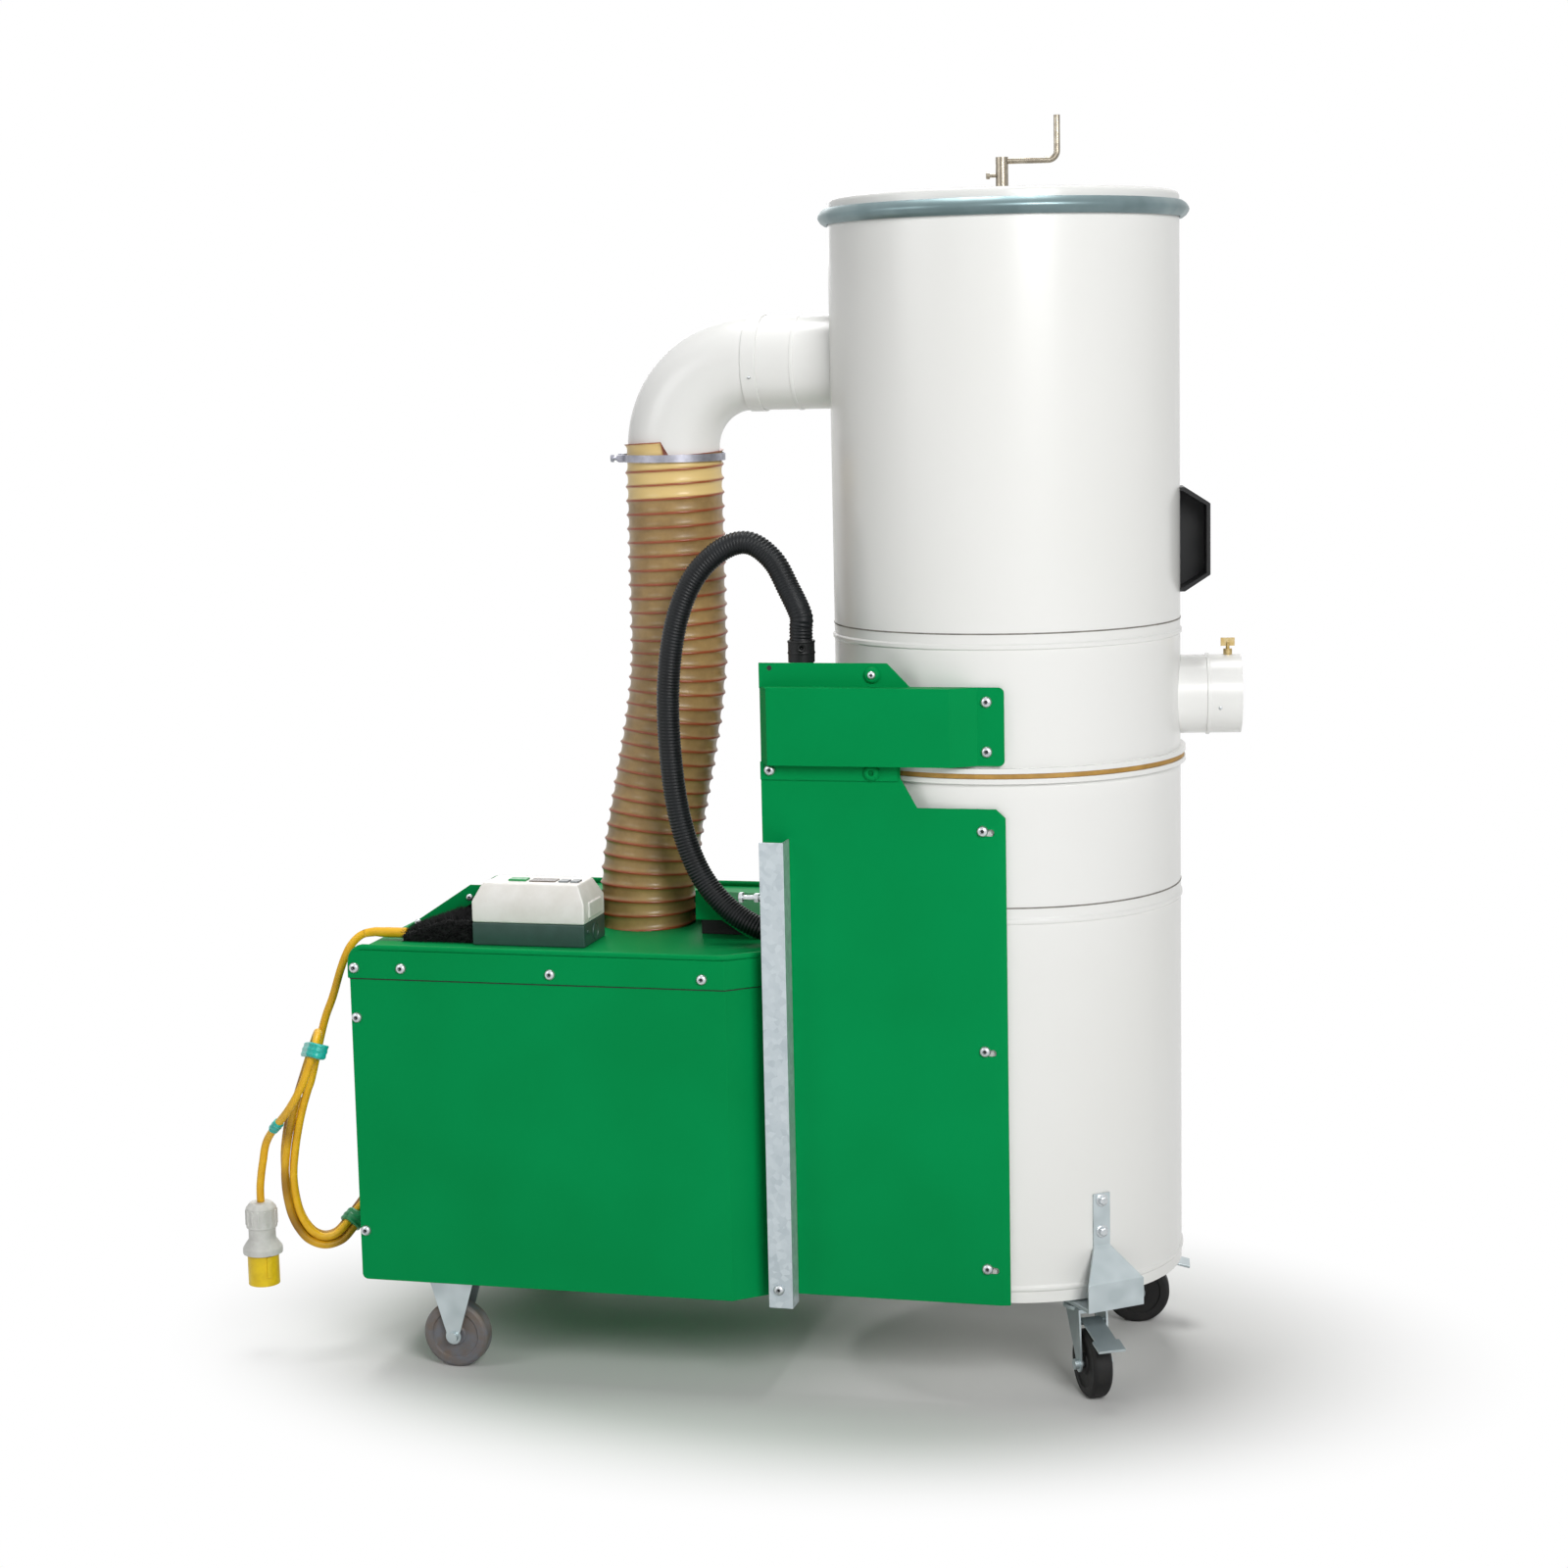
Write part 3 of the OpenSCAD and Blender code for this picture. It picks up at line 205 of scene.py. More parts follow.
setCamera()
setFloor()
setLight()
print("studio: camera, floor and lamps")


# finishes: a base colour that drifts to a second one in soft patches, with its own gloss
# grain: size, depth; spangle: size, amount, tint; dust: amount, patch, tint; all sizes in millimetres
def finish(name, colours, patch, rough, **look):
    material = bpy.data.materials.new(name)
    tree = emptyTree(material)
    place = addNode(tree, "ShaderNodeTexCoord").outputs["Object"]
    drift = noise(tree, place, patch, look.get("detail", 5.0), 0.6)
    tint = mixed(tree, ranged(tree, drift, 0.35, 0.65), *(linear(c) for c in colours))
    shader = addNode(tree, "ShaderNodeBsdfPrincipled", {
        "Roughness": ranged(tree, drift, 0.3, 0.7, *rough), "Metallic": look.get("metal", 0.0),
        "Specular IOR Level": look.get("specular", 0.5)})
    if "spangle" in look:    # zinc crystals, each a slightly different grey
        size, amount, shade = look["spangle"]
        cells = addNode(tree, "ShaderNodeTexVoronoi", {"Vector": place, "Scale": 1 / (size * mm)})
        level = addNode(tree, "ShaderNodeSeparateColor", {0: cells.outputs["Color"]}).outputs[0]
        tint = mixed(tree, ranged(tree, level, 0.0, 1.0, 0.0, amount), tint, linear(shade))
    for attribute, shade in look.get("shares", {}).items():    # the mesh's own share of another colour
        share = addNode(tree, "ShaderNodeAttribute", attribute_name=attribute)
        tint = mixed(tree, share.outputs["Fac"], tint, linear(shade))
    if "dust" in look:    # settled dust on faces that look up
        amount, size, shade = look["dust"]
        normal = addNode(tree, "ShaderNodeNewGeometry").outputs["Normal"]
        upward = addNode(tree, "ShaderNodeSeparateXYZ", {0: normal}).outputs["Z"]
        lying = ranged(tree, upward, 0.6, 1.0, 0.0, amount)
        uneven = calc(tree, "MULTIPLY", lying, noise(tree, place, size, 6.0, 0.7))
        tint = mixed(tree, uneven, tint, linear(shade))
    tree.links.new(tint, shader.inputs["Base Color"])
    if "grain" in look:
        size, depth = look["grain"]
        bump = addNode(tree, "ShaderNodeBump", {
            "Strength": look.get("strength", 0.25), "Distance": depth * mm,
            "Height": noise(tree, place, size, 2.0)})
        tree.links.new(bump.outputs[0], shader.inputs["Normal"])
    addNode(tree, "ShaderNodeOutputMaterial", {"Surface": shader.outputs[0]})
    return material


# polyester powder coat on steel, baked: even off-white, glossy, with a faint orange peel
whiteCoat = finish("powderCoatWhite", ("#EAEAE8", "#E7E7E4"), 600, (0.26, 0.27), detail=1.0,
                   grain=(3.2, 0.04), dust=(0.2, 40, "#C9C4B8"))
# the same coat in signal green: rich colour, soft sheen, finer texture, wood dust on flat tops
greenCoat = finish("powderCoatGreen", ("#008F4C", "#008947"), 300, (0.42, 0.5), detail=2.0, specular=0.05,
                   grain=(2.2, 0.05), strength=0.3, dust=(0.03, 55, "#7FA07C"))
# hot-dip galvanised sheet: pale blue-grey with crystals a centimetre across
galvanised = finish("galvanisedSheet", ("#BCC6CB", "#AEB9BF"), 60, (0.38, 0.55), metal=0.65,
                    spangle=(9, 0.5, "#D5DDE1"), grain=(1.5, 0.02))
# bright zinc plate on pressed castor parts: pale, a little cloudy
zincPlate = finish("brightZincPlate", ("#BFC9CC", "#AEB9BC"), 40, (0.28, 0.4), detail=1.0, metal=0.8,
                   grain=(0.8, 0.02))
# rolled zinc clamp band: duller and darker, brushed round by handling
clampZinc = finish("dullZincBand", ("#778A8D", "#6A7D80"), 60, (0.32, 0.45), detail=2.0, metal=0.75,
                   grain=(0.9, 0.02))
# zinc-plated bolts: bright
boltZinc = finish("platedBoltSteel", ("#CDD1D3", "#B4B9BC"), 6, (0.25, 0.4), metal=0.9)
# stainless strip of the hose clamp: brushed, a touch violet beside the zinc
clampSteel = finish("brushedStainlessStrip", ("#A9A9B4", "#92939D"), 12, (0.3, 0.42), metal=0.8,
                    grain=(0.8, 0.02))
# nickelled steel of the crank: warm, bright
nickelWarm = finish("nickelPlateWarm", ("#A39B8C", "#857D70"), 14, (0.2, 0.34), metal=0.85)
# brass clamp screw, dulled by age
brassPlate = finish("agedBrass", ("#C9B68A", "#A98F55"), 8, (0.25, 0.45), metal=0.9)
# natural rubber strip, tan, matt
sealTan = finish("gumRubberTan", ("#B98F45", "#A17A37"), 30, (0.55, 0.7), grain=(1.2, 0.05))
# moulded polyamide, black with a fine spark-eroded grain
blackPlastic = finish("mouldedPolyamideBlack", ("#0D0E0F", "#141517"), 30, (0.4, 0.54), specular=0.3,
                      grain=(0.7, 0.03))
# solid rubber tyres: soft black with scuffed grey dust in the tread
blackRubber = finish("solidRubberBlack", ("#131314", "#21201F"), 18, (0.5, 0.7), specular=0.3, grain=(1.4, 0.06))
# thermoplastic rubber tyres: mid grey, slightly waxy
wheelGrey = finish("thermoplasticRubberGrey", ("#6B6C72", "#6E6259"), 22, (0.4, 0.55), grain=(1.1, 0.04))
# soft PVC hose: black with a satin highlight on each fine rib
bypassPlastic = finish("softVinylBlack", ("#0C0E10", "#14171A"), 40, (0.36, 0.48), specular=0.25)
# clear brown polyurethane film on a coated wire: tan valleys, red-brown crests
hoseFilm = finish("polyurethaneHoseBrown", ("#A98A57", "#8C7044"), 45, (0.3, 0.45),
                  shares={"pale": "#E2C583", "crest": "#93401C"}, grain=(2.5, 0.08))
# open-cell foam, almost black, no gloss
foamBlack = finish("openCellFoamBlack", ("#141414", "#1E1D1C"), 12, (0.9, 1.0), grain=(2.4, 0.8), strength=0.8)
# nylon bristle: black with a faint sheen
bristleBlack = finish("nylonBristleBlack", ("#0B0B0C", "#151516"), 6, (0.5, 0.65), specular=0.25)
# moulded ABS of the starter: dark teal base, off-white cover, green and grey keys
starterTeal = finish("mouldedAbsTeal", ("#34504A", "#2C4640"), 35, (0.35, 0.5), grain=(0.8, 0.03))
starterWhite = finish("mouldedAbsWhite", ("#E9E7E3", "#DEDBD5"), 45, (0.3, 0.42), grain=(0.8, 0.02))
keyGreen = finish("mouldedAbsGreen", ("#1E9A52", "#178046"), 10, (0.3, 0.4))
keyGrey = finish("mouldedAbsGrey", ("#8B9092", "#797E80"), 10, (0.35, 0.45))
# smoked acrylic of the starter's window
windowBrown = finish("smokedAcrylic", ("#6A5F55", "#54493F"), 15, (0.12, 0.2))
# rubber cable sheath: warm yellow, brown with handling where the dirt share says so
cordYellow = finish("rubberSheathYellow", ("#F4BE14", "#E6AC10"), 25, (0.4, 0.55), shares={"dirt": "#70420F"},
                    grain=(1.0, 0.04))
# glass-filled polyamide of the plug: grey-white body, yellow sleeve
plugGrey = finish("filledPolyamideGrey", ("#D9D9D5", "#C6C6C1"), 20, (0.4, 0.55), grain=(0.7, 0.03))
plugYellow = finish("filledPolyamideYellow", ("#EFCD05", "#DDB904"), 20, (0.35, 0.5), grain=(0.7, 0.03))
# vinyl tape: thin, slightly stretched, satin
tapeTeal = finish("vinylTapeTeal", ("#18BFB0", "#12A497"), 9, (0.3, 0.45), grain=(3, 0.2))
tapeGreen = finish("vinylTapeGreen", ("#2A9A63", "#1F7F50"), 9, (0.3, 0.45), grain=(3, 0.2))
# painted shade: near-black colour laid in holes, bolt recesses and gaps, where only shade falls
paintedShade = finish("paintedShadeBlack", ("#1B1E1D", "#101211"), 8, (0.6, 0.8))
# old joint compound between painted sections: grey, matt
jointGrey = finish("jointCompoundGrey", ("#8A877F", "#6F6C66"), 20, (0.6, 0.75))
print("finishes:", len(bpy.data.materials))


# shared making steps
def addPiece(name, mesh, body, slot, material=None, nodes=()):
    if material:
        mesh.materials.clear()
        mesh.materials.append(material)
    piece = inScene(name, mesh)
    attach(piece, body)
    if nodes:
        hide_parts(*nodes)
    return piece


# a shape kept out of sight for a tree to repeat
def pattern(name, mesh):
    return bpy.data.objects.new(name, mesh)


def meshOf(work, name):
    mesh = bpy.data.meshes.new(name)
    work.to_mesh(mesh)
    work.free()
    return mesh


# a solid's own mesh with its doubled points merged
def merged(node):
    work = bmesh.new()
    work.from_mesh(cadNodes[node].data)
    bmesh.ops.remove_doubles(work, verts=work.verts, dist=0.01 * mm)
    return work


# the mesh of an object with its modifiers worked in
def settled(holder):
    graph = bpy.context.evaluated_depsgraph_get()
    mesh = bpy.data.meshes.new_from_object(holder.evaluated_get(graph), depsgraph=graph)
    bpy.data.objects.remove(holder)
    return mesh


def smoothed(mesh, angle=50):
    mesh.polygons.foreach_set("use_smooth", [True] * len(mesh.polygons))
    mesh.set_sharp_from_angle(angle=math.radians(angle))
    return mesh


# faces shaded smooth, with normals weighted to the large faces
def evenShaded(mesh, angle=50):
    holder = inScene("shading", smoothed(mesh, angle))
    weigh = holder.modifiers.new("weigh", "WEIGHTED_NORMAL")
    weigh.keep_sharp = True
    weigh.weight = 80
    return settled(holder)


def bevelled(work, edges, size, segments=2):
    bmesh.ops.bevel(work, geom=edges, offset=size * mm, segments=segments, profile=0.5,
                    affect="EDGES", clamp_overlap=True)


# a solid's mesh with its edges broken, as folded and deburred metal or a moulding has them
def softened(node, edge, corner=32, flat=0.5):
    work = merged(node)
    bmesh.ops.dissolve_limit(work, angle_limit=math.radians(flat), verts=work.verts, edges=work.edges)
    sharp = [e for e in work.edges if len(e.link_faces) == 2 and e.calc_face_angle(0) > math.radians(corner)]
    bevelled(work, sharp, edge)
    return evenShaded(meshOf(work, node))


# rings of points joined into one closed mesh; a ring of one point is a tip
def skinned(rings, name):
    work = bmesh.new()
    rings = [[work.verts.new(point) for point in ring] for ring in rings]
    for lower, upper in zip(rings, rings[1:]):
        sides = max(len(lower), len(upper))
        for k in range(sides):
            n = (k + 1) % sides
            corners = [ring[i % len(ring)] for ring, i in ((lower, k), (lower, n), (upper, n), (upper, k))]
            work.faces.new(list(dict.fromkeys(corners)))
    for ring in (rings[0][::-1], rings[-1]):
        if len(ring) > 1:
            work.faces.new(ring)
    bmesh.ops.recalc_face_normals(work, faces=work.faces)
    return meshOf(work, name)


# a point swung round an upright axis by a share of a turn
def swung(radius, height, share):
    angle = 2 * math.pi * share
    return Vector((radius * math.cos(angle), radius * math.sin(angle), height)) * mm


# a turned shape: radius and height pairs in millimetres, from one end of the axis to the other
def turned(profile, sides):
    return skinned([[swung(r, z, k / sides) for k in range(sides if r else 1)] for r, z in profile], "turned")


# a ring turned from a closed section, radius and height pairs in millimetres
def ringed(section, sides):
    work = bmesh.new()
    rings = [[work.verts.new(swung(r, z, k / sides)) for r, z in section] for k in range(sides)]
    for here, after in zip(rings, rings[1:] + rings[:1]):
        for i in range(len(section)):
            work.faces.new((here[i - 1], after[i - 1], after[i], here[i]))
    bmesh.ops.recalc_face_normals(work, faces=work.faces)
    return evenShaded(meshOf(work, "ringed"))


# a block with broken edges, centred, sizes in millimetres
def moulded(size, edge, segments=2):
    work = bmesh.new()
    bmesh.ops.create_cube(work, size=1.0)
    bmesh.ops.scale(work, vec=Vector(size) * mm, verts=work.verts)
    bevelled(work, work.edges[:], edge, segments)
    return meshOf(work, "moulded")


# several meshes, each with its place, joined into one
def joined(parts):
    work = bmesh.new()
    for mesh, place in parts:
        copy = mesh.copy()
        copy.transform(place)
        work.from_mesh(copy)
        bpy.data.meshes.remove(copy)
    return meshOf(work, "joined")


# local Z turned to a direction, at a place in tower millimetres
def facing(place, direction):
    return Matrix.Translation(at(*place)) @ Vector(direction).to_track_quat("Z", "Y").to_matrix().to_4x4()


solidTrees = {}


# where a straight line from a place in tower millimetres meets a solid
def landed(node, start, way):
    if node not in solidTrees:
        mesh = cadNodes[node].data
        points, faces = [v.co for v in mesh.vertices], [p.vertices for p in mesh.polygons]
        solidTrees[node] = BVHTree.FromPolygons(points, faces)
    point = solidTrees[node].ray_cast(at(*start), Vector(way).normalized())[0]
    return ((point.x - towerX) / mm, point.y / mm, point.z / mm)


# a smooth line through way points
def smoothLine(points, steps=8):
    line = []
    ways = [Vector(p) for p in points]
    for i in range(len(ways) - 1):
        a = ways[i - 1] if i else ways[0] * 2 - ways[1]
        b, c = ways[i], ways[i + 1]
        d = ways[i + 2] if i + 2 < len(ways) else c * 2 - b
        for k in range(steps):
            t = k / steps
            line.append(0.5 * (2 * b + (c - a) * t + (2 * a - 5 * b + 4 * c - d) * t * t
                               + (3 * b - a - 3 * c + d) * t ** 3))
    return line + [ways[-1]]


def lineLength(line):
    return sum((b - a).length for a, b in zip(line, line[1:]))


# a line taken again at even spacing
def respaced(line, gap):
    total = lineLength(line)
    count = max(2, round(total / gap))
    out, walked, i = [line[0]], 0.0, 0
    for k in range(1, count):
        goal = total * k / count
        while walked + (line[i + 1] - line[i]).length < goal:
            walked += (line[i + 1] - line[i]).length
            i += 1
        step = (line[i + 1] - line[i]).length
        out.append(line[i].lerp(line[i + 1], (goal - walked) / step))
    return out + [line[-1]]


def headings(line):
    last = len(line) - 1
    return [(line[min(i + 1, last)] - line[max(i - 1, 0)]).normalized() for i in range(last + 1)]


# a closed tube along a line, carried without twist; radii has one for each point
def tube(line, radii, sides):
    rings = []
    side = None
    swings = [2 * math.pi * k / sides for k in range(sides)]
    for point, ahead, radius in zip(line, headings(line), radii):
        side = side or ahead.orthogonal().normalized()
        side = (side - ahead * side.dot(ahead)).normalized()
        over = ahead.cross(side)
        rings.append([point + side * radius * math.cos(t) + over * radius * math.sin(t) for t in swings])
    mesh = skinned(rings, "tube")
    mesh.polygons.foreach_set("use_smooth", [len(p.vertices) == 4 for p in mesh.polygons])
    return mesh


def curveOf(line):
    curve = bpy.data.curves.new("line", "CURVE")
    curve.dimensions = "3D"
    spline = curve.splines.new("POLY")
    spline.points.add(len(line) - 1)
    for point, place in zip(spline.points, line):
        point.co = (*place, 1.0)
    return curve


# node trees
def newTree(name, inputs):
    tree = bpy.data.node_groups.new(name, "GeometryNodeTree")
    tree.interface.new_socket("Geometry", in_out="INPUT", socket_type="NodeSocketGeometry")
    tree.interface.new_socket("Geometry", in_out="OUTPUT", socket_type="NodeSocketGeometry")
    for label, kind in inputs.items():
        tree.interface.new_socket(label, in_out="INPUT", socket_type="NodeSocket" + kind)
    return tree, addNode(tree, "NodeGroupInput").outputs


# realised and painted, as every tree here ends
def endTree(tree, result, given):
    real = addNode(tree, "GeometryNodeRealizeInstances", {0: result})
    painted = addNode(tree, "GeometryNodeSetMaterial", {
        "Geometry": real.outputs[0], "Material": given["Material"]})
    addNode(tree, "NodeGroupOutput", {0: painted.outputs[0]})
    return tree


# values kept from a curve before it is swept
def captured(tree, curve, values):
    node = addNode(tree, "GeometryNodeCaptureAttribute", {"Geometry": curve})
    for name, (kind, socket) in values.items():
        node.capture_items.new(kind, name)
        tree.links.new(socket, node.inputs[name])
    return node.outputs


def stored(tree, geometry, name, value):
    return addNode(tree, "GeometryNodeStoreNamedAttribute", {
        "Geometry": geometry, "Name": name, "Value": value}, data_type="FLOAT", domain="POINT").outputs[0]


# heads of a kind set on points, each turned to its own facing
def boltTree():
    tree, given = newTree("headsOnPoints", {"Head": "Object", "Material": "Material"})
    way = addNode(tree, "GeometryNodeInputNamedAttribute", {0: "facing"}, data_type="FLOAT_VECTOR")
    size = addNode(tree, "GeometryNodeInputNamedAttribute", {0: "size"}, data_type="FLOAT")
    turn = addNode(tree, "FunctionNodeAlignRotationToVector", {"Vector": way.outputs[0]}, axis="Z")
    head = addNode(tree, "GeometryNodeObjectInfo", {"Object": given["Head"]})
    placed = addNode(tree, "GeometryNodeInstanceOnPoints", {
        "Points": given["Geometry"], "Instance": head.outputs["Geometry"],
        "Rotation": turn.outputs[0], "Scale": size.outputs[0]})
    return endTree(tree, placed.outputs[0], given)


# a hose swept along a line, its skin drawn in between the ribs of a winding wire
def hoseTree():
    tree, given = newTree("ribbedHose", {
        "Radius": "Float", "Sides": "Int", "Step": "Float", "Pitch": "Float", "Rib Depth": "Float",
        "Helix": "Float", "Sharpness": "Float", "Start": "Float", "Spiral End": "Float", "Lip": "Float",
        "Pale Turns": "Float", "Material": "Material"})
    even = addNode(tree, "GeometryNodeResampleCurve", {
        "Curve": given["Geometry"], "Length": given["Step"]}, mode="LENGTH")
    kept = captured(tree, even.outputs[0], {
        "Spine": ("VECTOR", addNode(tree, "GeometryNodeInputPosition").outputs[0]),
        "Ahead": ("VECTOR", addNode(tree, "GeometryNodeInputTangent").outputs[0]),
        "Along": ("FLOAT", addNode(tree, "GeometryNodeSplineParameter").outputs["Length"])})
    circle = addNode(tree, "GeometryNodeCurvePrimitiveCircle", {
        "Resolution": given["Sides"], "Radius": given["Radius"]})
    ring = captured(tree, circle.outputs[0], {
        "Around": ("FLOAT", addNode(tree, "GeometryNodeSplineParameter").outputs["Factor"])})
    skin = addNode(tree, "GeometryNodeCurveToMesh", {
        "Curve": kept["Geometry"], "Profile Curve": ring["Geometry"], "Fill Caps": True})
    # share of a turn from where the winding starts, the same all the way down
    part = calc(tree, "FRACT", calc(tree, "ADD", ring["Around"], given["Start"]))
    # the top end is cut along the first turn of the wire
    walked = calc(tree, "MAXIMUM", kept["Along"], calc(tree, "MULTIPLY", part, given["Spiral End"]))
    slid = vectorCalc(tree, "SCALE", {0: kept["Ahead"], "Scale": calc(tree, "SUBTRACT", walked, kept["Along"])})
    # 1 on a crest, falling to 0 midway to the next
    count = calc(tree, "DIVIDE", walked, given["Pitch"])
    cycle = calc(tree, "FRACT", calc(tree, "MULTIPLY_ADD", part, given["Helix"], count))
    apart = calc(tree, "ABSOLUTE", calc(tree, "MULTIPLY_ADD", cycle, 2.0, -1.0))
    sink = calc(tree, "SUBTRACT", calc(tree, "POWER", apart, given["Sharpness"]), 1.0)
    isEnd = addNode(tree, "FunctionNodeCompare", {0: kept["Along"], 1: 0.1 * mm}, data_type="FLOAT",
                    operation="LESS_THAN")
    lip = calc(tree, "MULTIPLY", isEnd.outputs[0], given["Lip"])
    inward = calc(tree, "SUBTRACT", calc(tree, "MULTIPLY", sink, given["Rib Depth"]), lip)
    here = addNode(tree, "GeometryNodeInputPosition").outputs[0]
    outward = vectorCalc(tree, "NORMALIZE", {0: vectorCalc(tree, "SUBTRACT", {0: here, 1: kept["Spine"]})})
    shift = vectorCalc(tree, "SCALE", {0: outward, "Scale": inward})
    shaped = addNode(tree, "GeometryNodeSetPosition", {
        "Geometry": skin.outputs[0], "Offset": vectorCalc(tree, "ADD", {0: shift, 1: slid})})
    marked = stored(tree, shaped.outputs[0], "crest", ranged(tree, apart, 0.72, 0.93, way="SMOOTHSTEP"))
    # the first turns, where the film is stretched over the pipe, are paler
    turns = calc(tree, "SUBTRACT", count, calc(tree, "FRACT", calc(tree, "ADD", part, 0.5)))
    pale = addNode(tree, "ShaderNodeMath", {
        0: calc(tree, "SUBTRACT", given["Pale Turns"], turns), 1: 12.0}, operation="MULTIPLY", use_clamp=True)
    whole = addNode(tree, "GeometryNodeMergeByDistance", {
        "Geometry": stored(tree, marked, "pale", pale.outputs[0]), "Distance": 0.02 * mm})
    smooth = addNode(tree, "GeometryNodeSetShadeSmooth", {"Geometry": whole.outputs[0]})
    return endTree(tree, smooth.outputs[0], given)


# bristles standing on a face, leaning and cut a little unevenly
def bristleTree():
    tree, given = newTree("bristles", {
        "Density": "Float", "Length": "Float", "Thickness": "Float", "Lean": "Float", "Seed": "Int",
        "Material": "Material"})
    spots = addNode(tree, "GeometryNodeDistributePointsOnFaces", {
        "Mesh": given["Geometry"], "Density": given["Density"], "Seed": given["Seed"]})
    hair = addNode(tree, "GeometryNodeMeshCone", {
        "Vertices": 4, "Radius Top": 0.0, "Radius Bottom": given["Thickness"], "Depth": given["Length"]},
        fill_type="NGON")
    less = calc(tree, "MULTIPLY", given["Lean"], -1.0)
    low = addNode(tree, "ShaderNodeCombineXYZ", {0: less, 1: less, 2: -3.0})
    high = addNode(tree, "ShaderNodeCombineXYZ", {0: given["Lean"], 1: given["Lean"], 2: 3.0})
    lean = addNode(tree, "FunctionNodeRandomValue", {
        0: low.outputs[0], 1: high.outputs[0], "Seed": given["Seed"]}, data_type="FLOAT_VECTOR")
    bent = addNode(tree, "FunctionNodeEulerToRotation", {0: lean.outputs[0]})
    turn = addNode(tree, "FunctionNodeRotateRotation", {
        0: spots.outputs["Rotation"], 1: bent.outputs[0]}, rotation_space="LOCAL")
    cut = addNode(tree, "FunctionNodeRandomValue", {2: 0.6, 3: 1.0, "Seed": given["Seed"]}, data_type="FLOAT")
    placed = addNode(tree, "GeometryNodeInstanceOnPoints", {
        "Points": spots.outputs["Points"], "Instance": hair.outputs["Mesh"],
        "Rotation": turn.outputs[0], "Scale": cut.outputs[1]})
    return endTree(tree, placed.outputs[0], given)


# one rib repeated round an upright axis
def ribRingTree():
    tree, given = newTree("ribRing", {
        "Rib": "Object", "Count": "Int", "Radius": "Float", "Material": "Material"})
    ring = addNode(tree, "GeometryNodeMeshCircle", {
        "Vertices": given["Count"], "Radius": given["Radius"]}, fill_type="NONE")
    here = addNode(tree, "GeometryNodeInputPosition")
    turn = addNode(tree, "FunctionNodeAlignRotationToVector", {"Vector": here.outputs[0]}, axis="X",
                   pivot_axis="Z")
    rib = addNode(tree, "GeometryNodeObjectInfo", {"Object": given["Rib"]})
    placed = addNode(tree, "GeometryNodeInstanceOnPoints", {
        "Points": ring.outputs[0], "Instance": rib.outputs["Geometry"], "Rotation": turn.outputs[0]})
    return endTree(tree, placed.outputs[0], given)


# a tree run on a mesh or curve, its named inputs set by identifier
def grown(tree, source, inputs):
    holder = inScene("growing", source)
    nodes = holder.modifiers.new("nodes", "NODES")
    nodes.node_group = tree
    for item in tree.interface.items_tree:
        if item.in_out == "INPUT" and item.name in inputs:
            nodes[item.identifier] = inputs[item.name]
    return settled(holder)


headsOnPoints = boltTree()
ribbedHose = hoseTree()
bristles = bristleTree()
ribRing = ribRingTree()
print("node trees:", len(bpy.data.node_groups))

# supply cord: lead, four runs of the hank, tail; places are from the case's top front corner
supplyCord = {
    "corner": (-1020, -325, 705), "diameter": 13, "sides": 16, "gap": 4.5,
    "lead": [(35, 90, 12), (23, 90, 12), (11, 90, 12), (-10, 85, 7), (-28, 79, -12), (-43, 76, -45),
             (-60, 75, -95), (-78, 75, -140)],
    "hank": [(-89, 75, -170), (-106, 75, -215), (-130, 73, -285), (-146, 73, -355), (-152, 75, -415),
             (-142, 80, -475), (-116, 92, -512), (-84, 112, -512), (-62, 142, -482)],
    "tail": [(-180, 60, -335), (-194, 65, -378), (-202, 70, -412), (-204, 71, -430), (-204, 71, -448)],
    "depth": (-0.417, 0.909, 0),    # the hank's folds lie one behind the other along this line
    "step": 6.0, "aside": 7,    # spacing along the hank, and each run's offset from its middle
    "runStops": (10, 3),    # steps from the top where the first run starts and the last one ends
    "farFold": [(30, 14), (64, 35), (96, 39), (120, 23), (128, 0)],    # half of a fold: ahead, in depth
    "midFold": {"share": 0.36, "radius": 40, "swings": (25, 55, 85, 115, 145, 178), "drift": 14 / 200,
                "back": [(6, 85), (12, 72), (19, 47), (25, 21)], "rejoin": 30},    # steps on, depth
    "topFold": {"lift": 10, "radius": 38, "swings": (15, 45, 75, 105, 135, 165), "drift": 3 / 180,
                "back": [(8, 85, 11), (17, 67, 18)]},    # steps on, depth, outward
    "dirt": {"fade": 60, "level": 0.5, "swing": 0.4, "waves": (47, 19), "least": 0.03},
    "relief": {"inside": 34, "radius": 8.4, "taper": 1.7, "root": 4, "points": 10, "sides": 24},
}


